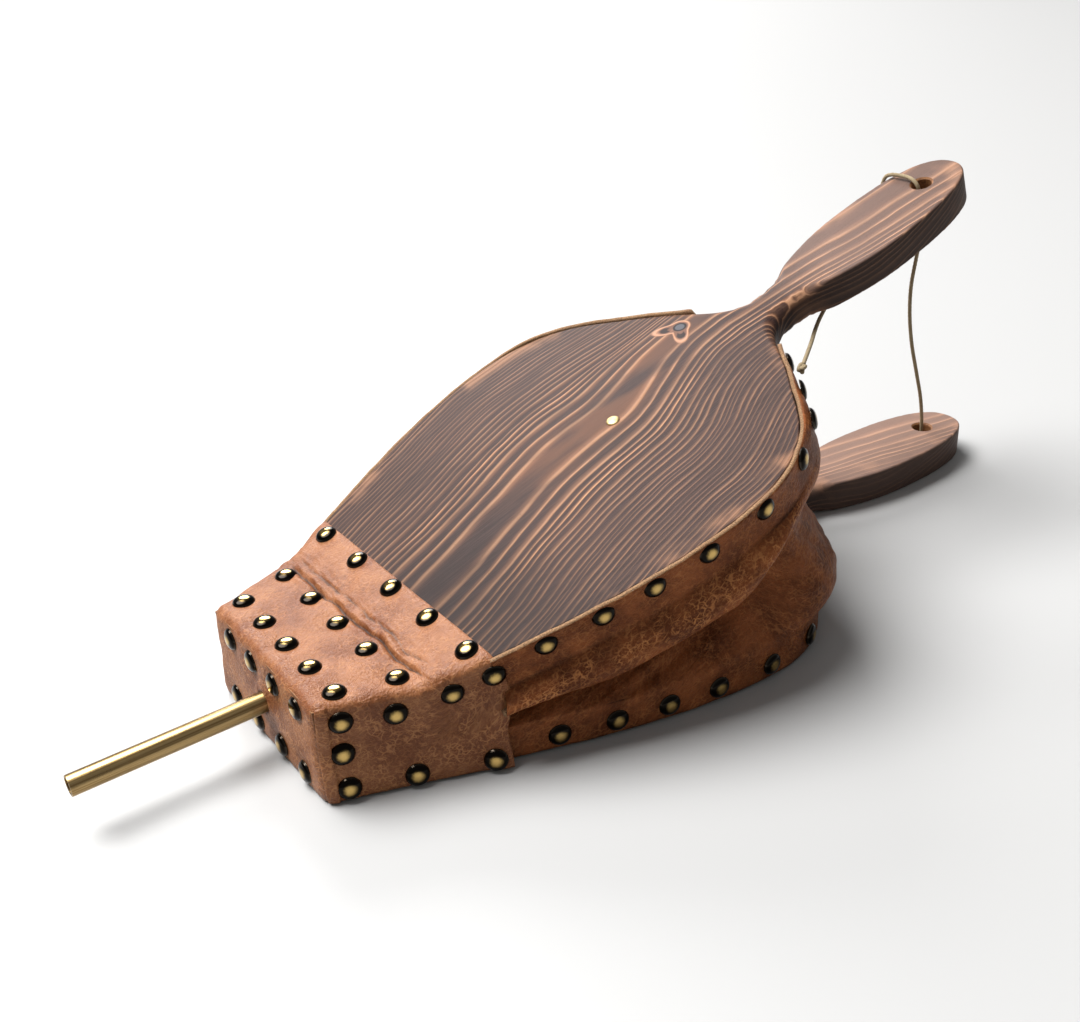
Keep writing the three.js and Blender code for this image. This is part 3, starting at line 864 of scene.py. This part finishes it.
def head_spots():
    """Every nail in the head's leather: (name, box place, CAD node or None)."""
    half, top = HEAD["half"], COVER_TOP

    def across(x, y):
        return y * half / half_width(x, NAIL_OUT)

    spots = []
    top_rows = [(f"head_nail_top_{row}", None, spot) for row, spot in enumerate(TOP_NAIL_ROWS, 1)]
    for name, node, (x, reach) in (*top_rows, ("flap_top_nail", "flap_nail", FLAP_NAIL_ROW)):
        for k in range(5):
            place = (x, across(x, reach * (1 - k / 2)), top)
            spots.append((f"{name}_{k + 1}", place, node and f"{node}_{k + 1}"))
    for row, z in enumerate(FRONT_NAILS["heights"], 1):
        for k, y in enumerate(FRONT_NAILS["across"], 1):
            spots.append((f"head_nail_front_{row}_{k}", (0.0, across(0, y), z), None))
    for name, hand in HANDS:
        for k, (x, z) in enumerate(SIDE_NAILS, 1):
            spots.append((f"head_nail_{name}_{k}", (x, hand * half, z), None))
        for k, x in enumerate(CHEEK_NAILS["along"], 1):
            place = (x, hand * half, CHEEK_NAILS["height"])
            spots.append((f"cheek_top_nail_{name}_{k}", place, f"cheek_nail_{name}_{k}"))
    return spots


def head_nails():
    for name, box, node in head_spots():
        seat = head_surface(*box)
        way = head_normal(box)
        beyond = box[0] > HINGE[0] and box[2] > UNDER
        if beyond:
            seat, tip = swing(seat), swing(seat + way)
            way = tip - seat
        drive(name, seat - way * NAIL_SINK, way, "upper_board" if beyond else "root", node)


def box_lattice():
    """Places on the top, sides and front of the head's box, and the quads between them."""
    half, top = HEAD["half"], COVER_TOP
    seam = HEAD["seam"]
    seam_end = seam + 0.35
    flap = ((seam_end, 40, 1.25), (40, 62, 0.7), (62, COVER_END, 1.1))
    xs = lines((0, seam, 0.75), (seam, seam_end, 0.35), *flap)
    ys = lines((-half, 6 - half, 0.75), (6 - half, half - 6, 1.3), (half - 6, half, 0.75))
    zs = lines((HEAD["bottom"], 40, 1.3), (40, top, 0.75))
    places, index = [], {}

    def vertex(i, j, k):
        if (i, j, k) not in index:
            index[i, j, k] = len(places)
            places.append((xs[i], ys[j], zs[k]))
        return index[i, j, k]

    def quad(*corners):
        faces.append([vertex(*corner) for corner in corners])

    faces = []
    a, b, c = len(xs) - 1, len(ys) - 1, len(zs) - 1
    for i in range(a):
        for j in range(b):
            quad((i, j, c), (i + 1, j, c), (i + 1, j + 1, c), (i, j + 1, c))
        for k in range(c):
            quad((i, 0, k), (i + 1, 0, k), (i + 1, 0, k + 1), (i, 0, k + 1))
            quad((i, b, k), (i, b, k + 1), (i + 1, b, k + 1), (i + 1, b, k))
    for j in range(b):
        for k in range(c):
            quad((0, j, k), (0, j, k + 1), (0, j + 1, k + 1), (0, j + 1, k))
    return np.array(places), np.array(faces)


def mesh_normals(points, faces):
    """Vertex normals of a quad mesh."""
    a, b, c, d = (points[faces[:, k]] for k in range(4))
    face = np.cross(c - a, d - b)
    total = np.zeros_like(points)
    for k in range(4):
        np.add.at(total, faces[:, k], face)
    return total / np.maximum(np.linalg.norm(total, axis=1), 1e-12)[:, None]


def head_relief(place, box):
    """How far the head's leather stands out from its plain shape, in millimetres."""
    x, y, z = place.T
    seats = np.array([head_surface(*b) for _, b, _ in head_spots()])
    nearest = np.min(np.linalg.norm(place[:, None] - seats[None], axis=2), axis=1)
    hem = smooth(0, 5, z - HEAD["bottom"]) * smooth(0, 5, COVER_END - x)
    relief = (0.95 - 1.35 * np.exp(-((nearest / 7.5) ** 2))) * hem
    relief = relief + 0.45 * ripple(x / 15, y / 15, z / 15) + 0.18 * ripple(x / 5, y / 5, z / 5)
    on_top = smooth(COVER_TOP - 9, COVER_TOP - 3, z) * smooth(HEAD["half"] + 13, HEAD["half"] + 3, np.abs(y))
    bend = 47.6 + 2.2 * ripple(y / 17, 3.1) + 0.9 * ripple(y / 6, 8.2) - 0.02 * y
    folds = 0.9 * bump_at(x, bend + 2.8, 2.0) - 1.3 * bump_at(x, bend, 0.9)
    second_bend = bend + 6.4 + 1.5 * ripple(y / 10, 5.5)
    folds = folds + 0.7 * bump_at(x, bend - 3.0, 1.9) - 0.7 * bump_at(x, second_bend, 0.9)
    furrow = 1 - np.abs(ripple(x / 4.2, y / 15, 9.0)) * 3.2
    folds = folds + 0.6 * np.clip(furrow, 0, 1) * bump_at(x, 51, 10)
    relief = relief + folds * on_top
    crumple = 1 - np.abs(ripple(x / 5, y / 30, z / 9 + 4)) * 3
    relief = relief + 0.7 * np.clip(crumple, 0, 1) * bump_at(x, 49, 9) * smooth(14, 38, z) * (1 - on_top)
    seam = (y < 0) * (np.abs(box[:, 1]) >= HEAD["half"] - 1e-6)
    relief = relief + 0.9 * smooth(HEAD["seam"] + 0.3, HEAD["seam"], box[:, 0]) * seam
    collar = np.hypot(y, z - NOZZLE["z"])
    tube = (box[:, 0] <= 1e-6) * bump_at(collar, NOZZLE["outer"] + 1.8, 2.4)
    return relief + 0.8 * tube


def leather_piece(name, points, faces, relief, hide, share, stress, finish, thickness=LEATHER):
    """A leather skin with its relief, thickness, and the values that its material reads."""
    normals = mesh_normals(points, faces)
    moved = points + normals * relief[:, None]
    moved[:, 2] = np.maximum(moved[:, 2], 0.35)
    piece = add_mesh(name, metres(moved), faces, [finish, cut_leather])
    set_values(piece, "hide", hide)
    set_values(piece, "share", share)
    set_values(piece, "stress", stress)
    # how deep each place lies in a fold, for the painted shade
    set_values(piece, "crease_shade", crease_shade_of(moved, faces))
    thicken(piece, thickness, 1)
    for vertex in piece.data.vertices:
        vertex.co.z = max(vertex.co.z, 0.2 * MM)
    return piece


def crease_shade_of(points, faces):
    """0 on flat or raised leather, up to 1 at the bottom of a fold, where the leather material paints shade.
    """
    normals = mesh_normals(points, faces)
    total = np.zeros(len(points))
    count = np.zeros(len(points))
    for k in range(4):
        a, b = faces[:, k], faces[:, (k + 1) % 4]
        along = points[b] - points[a]
        length = np.maximum(np.linalg.norm(along, axis=1), 1e-9)
        bend = np.einsum("ij,ij->i", normals[b] - normals[a], along) / length**2
        for end in (a, b):
            np.add.at(total, end, bend)
            np.add.at(count, end, 1)
    return smooth(0.06, 0.42, -total / count)


def follow_boards(piece):
    """Bakes the piece's place into its mesh and reads its stored shares of the upper board."""
    start, end = metres([(HINGE[0], 0, 0), (HINGE[0] + 10, 0, 0)])
    tuple(start)
    tuple(end)
    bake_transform(piece)
    shares = np.empty(len(piece.data.vertices), np.float32)
    piece.data.attributes["share"].data.foreach_get("value", shares)


def head_cover():
    box, faces = box_lattice()
    place = head_surface(*box.T)
    share = head_share(place)
    relief = head_relief(place, box)
    stress = 0.75 - 0.4 * smooth(COVER_TOP - 6, COVER_TOP, place[:, 2])
    piece = leather_piece(
        "head_wrap", swing(place, share), faces, relief, place, share, stress, head_leather,
    )
    bore_radius = NOZZLE["outer"] + 0.1
    cutter = lathe("cutter", [(0, -4), (bore_radius, -4), (bore_radius, 8), (0, 8)], [cut_leather], 32)
    middle = Matrix.Translation(metres((0, 0, NOZZLE["z"])))
    cutter.matrix_world = middle @ Matrix.Rotation(math.pi / 2, 4, "Y")
    cut_out(piece, cutter)
    follow_boards(piece)
    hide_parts("head_cover", "hinge_flap")
    width = 2 * (COVER_TOP + half_width(35, 0))
    width * MM


# ---- the skirt ----
def skirt_track():
    """The skirt's plan line from its right front end, round behind the necks, to the left front."""
    arcs = np.linspace(side.arc_at(SKIRT["start"]), side.arc_at(SKIRT["end"]), 500)
    x, y = side.at(arcs)
    near = np.stack([x, -y], axis=1)
    turn = bezier(((x[-1], -y[-1]), (SKIRT["cross"], -23), (SKIRT["cross"], 0)), 80)[1:]
    half = np.vstack([near, turn])
    return Track(np.vstack([half, (half * (1, -1))[-2::-1]])), arcs[-1] - arcs[0]


track, edge_length = skirt_track()
half_track = track.length / 2

# Profiles of the free leather: (share of the way down, distance out) for the belly, the shoulder
# and the stretch behind the necks. A belly row is worked out from the lip's share of the height.
SHOULDER = (
    (0, 0), (0.08, 1.2), (0.16, -1), (0.25, -6), (0.34, -9), (0.46, -7.5),
    (0.57, -3), (0.69, 2.5), (0.8, 8), (0.9, 8), (1, 1),
)
BEHIND = (
    (0, 0), (0.08, 0), (0.16, -1.5), (0.25, -4), (0.34, -8), (0.45, -11),
    (0.56, -9), (0.67, -5), (0.78, -2), (0.9, -0.5), (1, 0),
)


def spline_rows(controls, rows):
    """Catmull-Rom rows through control columns of shape (controls, stations, 2)."""
    ends = np.concatenate([2 * controls[:1] - controls[1:2], controls, 2 * controls[-1:] - controls[-2:-1]])
    place = np.linspace(0, len(controls) - 1, rows)
    cell = np.minimum(place.astype(int), len(controls) - 2)
    u = (place - cell)[:, None, None]
    a, b, c, d = (ends[cell + k] for k in range(4))
    return 0.5 * (2 * b + (c - a) * u + (2 * a - 5 * b + 4 * c - d) * u**2 + (3 * b - a - 3 * c + d) * u**3)


def free_profile(x, height, hand, rows):
    """(share down, distance out) of the free leather for each row and station."""
    lip_drop = 3 + (7 + 9 * smooth(75, 135, x)) * smooth(236, 182, x)
    lip_drop = np.minimum(lip_drop * (1 + 0.08 * hand * ripple(x / 30, 2.2)), 0.72 * height)
    lip = lip_drop / height
    bulge = np.minimum(6.8, 0.42 * height) * smooth(255, 200, x)
    fold = np.minimum(24, 0.48 * height)
    rest = 1 - lip
    belly = [
        (0 * x, 0 * x),
        (0.3 * lip, 0.62 * bulge),
        (0.68 * lip, bulge),
        (lip, 0.62 * bulge),
        (1.04 * lip, -0.12 * fold),
        (0.96 * lip + 0.03 * rest, -0.5 * fold),
        (lip + 0.16 * rest, -fold),
        (lip + 0.46 * rest, -0.78 * fold),
        (lip + 0.74 * rest, -0.36 * fold),
        (lip + 0.92 * rest, -0.07 * fold),
        (0 * x + 1, 0 * x),
    ]
    belly = np.stack([np.stack(pair, axis=-1) for pair in belly])
    shoulder, behind = np.array(SHOULDER)[:, None], np.array(BEHIND)[:, None]
    turn = smooth(205, 262, x)[None, :, None]
    back = smooth(270, 300, x)[None, :, None]
    return spline_rows(between(between(belly, shoulder, turn), behind, back), rows)


# Single creases in the free leather: (distance along from the front, share down) at each end,
# depth and width in millimetres. A negative depth is a ridge.
CREASES = (
    ((0, 0.55), (58, 0.72), 1.6, 2.2), ((30, 0.8), (125, 0.97), 1.3, 1.8),
    ((6, 0.75), (70, 0.86), -0.8, 2.0), ((60, 0.62), (118, 0.74), 0.8, 1.8),
    ((150, 0.5), (196, 0.93), 1.2, 2.6), ((162, 0.42), (186, 0.86), -1.0, 2.6),
    ((176, 0.36), (194, 0.72), 1.5, 2.4), ((188, 0.3), (203, 0.6), -1.5, 2.4),
    ((199, 0.16), (208, 0.56), 2.2, 2.6), ((209, 0.12), (214, 0.5), -1.8, 2.8),
    ((219, 0.14), (219, 0.52), 2.0, 2.6), ((228, 0.1), (224, 0.5), -1.6, 3.0),
    ((238, 0.16), (230, 0.56), 1.6, 2.8), ((205, 0.62), (224, 0.9), 1.1, 2.4),
    ((192, 0.66), (206, 0.94), -0.9, 2.6), ((216, 0.62), (240, 0.82), -1.0, 2.8),
    ((240, 0.4), (262, 0.6), 1.4, 3.2), ((250, 0.2), (262, 0.45), 1.2, 3.0),
)


def crease_relief(along, down, height, hand):
    """The sum of the single creases, shifted a little on the left side so that the sides differ."""
    relief = np.zeros_like(along)
    drop = down * height
    for number, ((a, u), (b, v), depth, width) in enumerate(CREASES):
        shift = 0 if hand < 0 else 7 * math.sin(number * 2.4)
        line_height = np.interp((a + b) / 2 + shift, along[0], height)
        start = np.array([a + shift, u * line_height])
        end = np.array([b + shift, v * line_height])
        way = end - start
        place = np.stack([along, drop], axis=-1) - start
        share = np.clip((place @ way) / (way @ way), 0, 1)
        away = np.linalg.norm(place - share[..., None] * way, axis=-1)
        relief -= depth * np.exp(-((away / width) ** 2)) * np.sin(np.pi * np.clip(share, 0.04, 0.96)) ** 0.6
    return relief


def skirt_rows(hand, stations, strip_rows, free_rows):
    """One side's grid, row by row: places, shares down the free leather and shares of the upper board."""
    arcs = np.linspace(0, half_track, stations)
    x, _ = track.at(arcs)
    passing = smooth(edge_length - 6, edge_length + 2.5, arcs)
    stand = np.full_like(arcs, 1.0) if hand < 0 else -0.8 + 1.7 * smooth(200, 235, x)
    stand = stand + 0.35 * ripple(arcs / 9, hand * 3.3)
    top_z = between(BLOCK["top"] + stand, UNDER - GAP, passing)
    under_z = between(UNDER, UNDER - 3, passing)
    seat_z = between(BOARD, BOARD + 3, passing)
    hem_z = between(1.0, BOARD + GAP, passing)
    hem_z = hem_z + 0.35 * (1 + ripple(arcs / 11, hand * 5.1)) * (1 - passing)
    slack = {level: SKIRT["slack"] * slack_at(x, level) * (1 - passing) for level in RIM_GAPS}
    most_flare = SKIRT["flare"] * (1 if hand < 0 else 0.3)

    def outer(out, z):
        px, py = track.at(arcs, -out)
        return np.stack([px, py, np.broadcast_to(z, px.shape)], axis=-1)

    rows, downs, shares = [], [], []

    def add_row(row, down, share):
        rows.append(row)
        downs.append(np.broadcast_to(down, arcs.shape))
        shares.append(np.broadcast_to(share, arcs.shape))

    for t in np.linspace(0, 1, strip_rows, endpoint=False):
        flare = most_flare * float(smooth(0.35, 0, t)) * smooth(252, 225, x)
        stand_out = flare + slack["upper"] * float(smooth(0, 0.24, t))
        add_row(swing(outer(STRIP_OUT + stand_out, top_z + (under_z - top_z) * t)), 0.0, 1.0)
    height = swing(outer(STRIP_OUT, under_z))[:, 2] - seat_z
    profile = free_profile(x, height, hand, free_rows)
    for down, out in np.moveaxis(profile, -1, 1):
        upper = swing(outer(STRIP_OUT + slack["upper"] + out, under_z))
        lower = outer(STRIP_OUT + slack["lower"] + out, seat_z)
        add_row(upper + (lower - upper) * down[:, None], down, np.clip(1 - down, 0, 1))
    for t in np.linspace(0, 1, strip_rows + 1)[1:]:
        add_row(outer(STRIP_OUT + slack["lower"], seat_z + (hem_z - seat_z) * t), 1.0, 0.0)
    rows = np.array(rows)
    if hand > 0:
        rows[..., 1] *= -1
    return rows, np.array(downs), np.array(shares), arcs, height


def skirt_half(hand, stations, strip_rows, free_rows):
    """One side's grid: places, hide coordinates, shares, stress and relief, row by row."""
    rows, downs, shares, arcs, height = skirt_rows(hand, stations, strip_rows, free_rows)
    fall = np.cumsum(np.linalg.norm(np.diff(rows, axis=0, prepend=rows[:1]), axis=-1), axis=0)
    along = np.broadcast_to(arcs, fall.shape)
    free = np.zeros((len(rows), 1))
    free[strip_rows : strip_rows + free_rows, 0] = np.sin(np.linspace(0, np.pi, free_rows)) ** 0.35
    relief = crease_relief(along, downs, height, hand) * free
    relief = relief + 0.8 * ripple(along / 26, fall / 13, hand * 4.0) * free
    ridges = np.clip(1 - np.abs(ripple(along / 34 + fall / 60, fall / 5.5, hand * 7.0)) * 3, 0, 1)
    relief = relief + 0.5 * ridges * free + 0.2 * ripple(along / 5, fall / 4, hand * 2.0)
    relief = relief + strip_pillow(rows, hand)
    lip = np.exp(-(((downs - 0.5 * 17 / np.maximum(height, 20)) / 0.22) ** 2))
    stress = 0.35 + 0.65 * lip * free
    hide = np.stack([along * -hand, fall, np.full_like(fall, 40.0)], axis=-1)
    return rows, hide, shares, stress, relief


def strip_pillow(rows, hand):
    """Leather pressed down round each rim nail."""
    pillow = np.zeros(rows.shape[:2])
    for level in RIM_GAPS:
        for seat, _ in rim_seats(level, hand):
            away = np.linalg.norm(rows - seat, axis=-1)
            pillow -= 0.5 * np.exp(-((away / 7) ** 2))
    return pillow


def skirt():
    stations, strip_rows, free_rows = 170, 9, 64
    halves = [skirt_half(hand, stations, strip_rows, free_rows) for hand in (-1, 1)]
    joined = []
    for near, far in zip(*halves):
        joined.append(np.concatenate([near, far[:, -2::-1]], axis=1))
    rows, hide, shares, stress, relief = joined
    steps_off = np.abs(np.arange(rows.shape[1]) - (stations - 1))
    relief = relief * smooth(0, 30, steps_off * half_track / (stations - 1))[None, :]
    faces = grid_faces(*rows.shape[:2])[:, ::-1]
    piece = leather_piece(
        "leather_skirt", rows.reshape(-1, 3), faces, relief.ravel(), hide.reshape(-1, 3),
        shares.ravel(), stress.ravel(), skirt_leather, SKIRT["thickness"],
    )
    follow_boards(piece)
    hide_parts("skirt")


# ---- nozzle and tacks ----
def nozzle():
    """The drawn tube from the middle of the head block to its open mouth."""
    length = NOZZLE_OUT + BLOCK["rear"]
    outer, inner = NOZZLE["outer"], NOZZLE["inner"]
    profile = [(inner, 0), (outer, 0), (outer, length - 0.35), (outer - 0.12, length - 0.1)]
    profile += [(outer - 0.35, length), (inner + 0.2, length), (inner, length - 0.2)]
    piece = lathe("nozzle_tube", profile, [brass_finish], segments=64, closed=True)
    piece.data.set_sharp_from_angle(angle=math.radians(40))
    piece.data.transform(Matrix.Rotation(-math.pi / 2, 4, "Y"))
    piece.matrix_world = Matrix.Translation(metres((BLOCK["rear"], 0, NOZZLE["z"])))
    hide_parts("nozzle")
    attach(piece, "root")


def centre_tack():
    """The small pale tack in the middle of the upper board."""
    radius, dome, shank, length = (TACK[k] for k in ("radius", "dome", "shank", "length"))
    profile = [(0, -length), (shank, 1 - length), (shank, 0), (radius - 0.2, 0), (radius, 0.15)]
    for turn in np.radians((20, 40, 60, 75)):
        profile.append((radius * math.cos(turn), 0.15 + (dome - 0.15) * math.sin(turn)))
    profile.append((0, dome))
    piece = lathe("board_tack", profile, [tack_finish], 36)
    seat = swing((TACK["x"], 0, BLOCK["top"]))
    way = swing((TACK["x"], 0, BLOCK["top"] + 1)) - seat
    piece.matrix_world = Matrix.Translation(metres(seat)) @ facing(way).to_4x4()
    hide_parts("centre_tack")
    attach(piece, "upper_board")


# ---- the cord ----
CORD_RADIUS = 1.15
CORD_SIDES = 18
CORD_ROUTE = (
    (447, 0, 8.8), (446.5, 0, 18), (445.4, 0, 27), (442.6, 0, 40), (437, 0, 57),
    (429.5, 0, 80), (425.6, 0, 100), (425, 0, 116), (427.3, 0, 131), (429.7, 0, 146),
    (429.2, 0, 156.5), (426.3, 0, 165.5), (423.6, 0.4, 173.6), (423.4, 3.4, 176.2),
    (424.6, 9, 176.9), (424.5, 15, 176.8), (423.9, 20, 176.4), (423.3, 23.1, 174.8),
    (422.4, 24.5, 170), (421.1, 24.8, 163), (419, 25.4, 155.6), (414.2, 24.2, 148.3),
    (403, 19.4, 143.2), (372, 6, 130.6), (341, -8, 119.1), (318, -24, 115.5), (300, -36.5, 113.4),
)
HOLE_KNOT = {"at": (447, 0, 4.6), "radius": 5.1, "height": 3.7}
END_KNOT = {"at": (296.5, -39.0, 113.0), "radius": 2.6, "height": 3.4}


def distances(line):
    """The length along the line at each of its points."""
    return np.append(0, np.cumsum(np.linalg.norm(np.diff(line, axis=0), axis=1)))


def through(points, spacing):
    """A smooth centripetal curve through the points, read at an even spacing."""
    points = np.asarray(points, float)
    ends = np.vstack([2 * points[0] - points[1], points, 2 * points[-1] - points[-2]])
    curve = []
    for k in range(len(points) - 1):
        four = ends[k : k + 4]
        times = np.append(0, np.cumsum(np.linalg.norm(np.diff(four, axis=0), axis=1) ** 0.5))
        for t in np.linspace(times[1], times[2], 24, endpoint=False):
            curve.append(centripetal(t, times, four))
    curve = np.vstack([curve, points[-1:]])
    arc = distances(curve)
    places = np.linspace(0, arc[-1], int(arc[-1] / spacing) + 1)
    return np.stack([np.interp(places, arc, curve[:, k]) for k in range(3)], axis=1), arc[-1]


def centripetal(t, times, points):
    """One point of a Catmull-Rom stretch whose control points have their own times."""
    t0, t1, t2, t3 = times
    a, b, c, d = points
    ab = (t1 - t) / (t1 - t0) * a + (t - t0) / (t1 - t0) * b
    bc = (t2 - t) / (t2 - t1) * b + (t - t1) / (t2 - t1) * c
    cd = (t3 - t) / (t3 - t2) * c + (t - t2) / (t3 - t2) * d
    abc = (t2 - t) / (t2 - t0) * ab + (t - t0) / (t2 - t0) * bc
    bcd = (t3 - t) / (t3 - t1) * bc + (t - t1) / (t3 - t1) * cd
    return (t2 - t) / (t2 - t1) * abc + (t - t1) / (t2 - t1) * bcd


def twine(name, line, radius, closed=False, sides=CORD_SIDES, pitch=7.0):
    """A three-strand twisted tube along a line of points in millimetres."""
    way = np.gradient(line, axis=0)
    if closed:
        way = np.roll(line, -1, axis=0) - np.roll(line, 1, axis=0)
    way /= np.linalg.norm(way, axis=1)[:, None]
    across = np.cross(way[0], (0.3, 0.9, 0.2))
    rings, strand = [], []
    angles = np.linspace(0, 2 * math.pi, sides, endpoint=False)
    for at, direction, along in zip(line, way, distances(line)):
        across = across - direction * (across @ direction)
        across /= np.linalg.norm(across)
        beside = np.cross(direction, across)
        turned = 1.5 * (angles - 2 * math.pi * along / pitch)
        reach = radius * (0.8 + 0.2 * np.abs(np.cos(turned)) ** 0.7)
        outward = np.outer(np.cos(angles), across) + np.outer(np.sin(angles), beside)
        rings.append(at + reach[:, None] * outward)
        strand.append(np.stack([np.full(sides, along), turned * radius, np.full(sides, radius)], axis=1))
    ends = closing_faces if closed else end_faces
    faces = [*ring_faces(len(rings), sides), *ends(len(rings), sides)]
    piece = add_mesh(name, metres(np.vstack(rings)), faces, [jute_finish])
    set_values(piece, "strand", np.vstack(strand))
    return piece


def knot(name, at, radius, height, along, thick):
    """An overhand knot pulled tight: a trefoil of twine, squeezed into its own small bulk."""
    t = np.linspace(0, 2 * math.pi, 120, endpoint=False)
    loop = np.stack([np.sin(t) + 2 * np.sin(2 * t), np.cos(t) - 2 * np.cos(2 * t), -np.sin(3 * t)], axis=1)
    loop *= ((radius - thick) / 3, (radius - thick) / 3, height - thick)
    loop = loop @ np.array(facing(along)).T + np.array(at, float)
    return twine(name, loop, thick, closed=True, sides=14, pitch=5.0)


def cord():
    line, length = through(CORD_ROUTE, 0.9)
    piece = twine("twine_cord", line, CORD_RADIUS)
    top_hole = int(np.argmax(line[:, 2] > swing((CORD_HOLE["x"], 0, UNDER))[2] - 2))
    share = smooth(BOARD, line[top_hole, 2], line[:, 2])
    share[top_hole:] = 1
    set_values(piece, "share", np.repeat(share, CORD_SIDES))
    follow_boards(piece)
    tail_way = line[-1] - line[-4]
    hole_knot = knot("lower_knot", thick=1.35, along=(0, 0, 1), **HOLE_KNOT)
    end_knot = knot("tail_knot", thick=1.1, along=tail_way, **END_KNOT)
    knots = ((hole_knot, "cord_hole_knot", "root"), (end_knot, "cord_end_knot", "upper_board"))
    for made, node, body in knots:
        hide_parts(node)
        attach(made, body)
    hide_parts("cord")
    path = [tuple(p) for p in metres(line)]
    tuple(path[0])


# ---- camera, light and floor ----
CAMERA = {"at": (-155.7, -466.2, 375.4), "down": 28.945, "right": 33.821, "roll": -3.703}
LENS = 43.03


def camera():
    down, right, roll = (math.radians(CAMERA[k]) for k in ("down", "right", "roll"))
    ahead = Vector((math.sin(right) * math.cos(down), math.cos(right) * math.cos(down), -math.sin(down)))
    level = Vector((math.cos(right), -math.sin(right), 0))
    upright = level.cross(ahead)
    across = math.cos(roll) * level + math.sin(roll) * upright
    up = math.cos(roll) * upright - math.sin(roll) * level
    data = bpy.data.cameras.new("camera")
    data.lens = LENS
    data.sensor_width = 36
    eye = new_object("camera", data)
    turn = Matrix((across, up, -ahead)).transposed()
    eye.matrix_world = Matrix.Translation(metres(CAMERA["at"])) @ turn.to_4x4()
    bpy.context.scene.camera = eye


# Soft daylight and a panel from behind and to the left shade the near side; the panel's fall-off
# darkens the floor towards the near right, and the backdrop lamp whitens the far floor.
LAMPS = {
    "daylight": {"kind": "SUN", "at": (-0.66, 1.0, 2.2), "to": (0, 0, 0), "power": 3.5},
    "panel": {"kind": "AREA", "at": (-0.52, 0.78, 1.7), "to": (0, 0, 0), "power": 46},
    "backdrop": {"kind": "AREA", "at": (1.0, 2.7, 1.6), "to": (0.9, 1.5, 0), "power": 80},
}
SUN_SPREAD = math.radians(35)
PANEL_SIZE = 1.5
SURROUND = 0.26
FLOOR = {"size": 12, "height": -0.0003}


def lamps():
    for name, lamp in LAMPS.items():
        data = bpy.data.lights.new(name, lamp["kind"])
        data.energy = lamp["power"]
        if lamp["kind"] == "SUN":
            data.angle = SUN_SPREAD
        else:
            data.shape = "DISK"
            data.size = PANEL_SIZE
        piece = new_object(name, data)
        piece.location = lamp["at"]
        ahead = Vector(lamp["to"]) - Vector(lamp["at"])
        piece.rotation_euler = ahead.to_track_quat("-Z", "Y").to_euler()


def studio():
    world = bpy.data.worlds.new("studio")
    bpy.context.scene.world = world
    world.use_nodes = True
    surround = world.node_tree.nodes["Background"]
    surround.inputs["Color"].default_value = (1, 1, 1, 1)
    surround.inputs["Strength"].default_value = SURROUND
    lamps()
    bpy.ops.mesh.primitive_plane_add(size=FLOOR["size"], location=(0, 0, FLOOR["height"]))
    floor = bpy.context.object
    floor.name = "floor"
    floor.data.materials.append(pale_floor("pale_floor"))
    bpy.context.scene.view_settings.view_transform = "Standard"


camera()
cord()
rim_nails()
head_cover()
head_nails()
skirt()
nozzle()
centre_tack()
studio()

CAD_FINISHES = (
    (("board", "block"), plain_pine),
    (("cord",), jute_finish),
    (("nail",), nail_finish),
    (("nozzle", "tack"), brass_finish),
    (("",), skirt_leather),
)


def dress_cad_node(name, node):
    """Gives a CAD node that stays in sight the finish of its kind."""
    finish = next(finish for words, finish in CAD_FINISHES if any(word in name for word in words))
    node.data.materials.clear()
    node.data.materials.append(finish)


for name, node in frame["nodes"].items():
    if not node.hide_render:
        dress_cad_node(name, node)
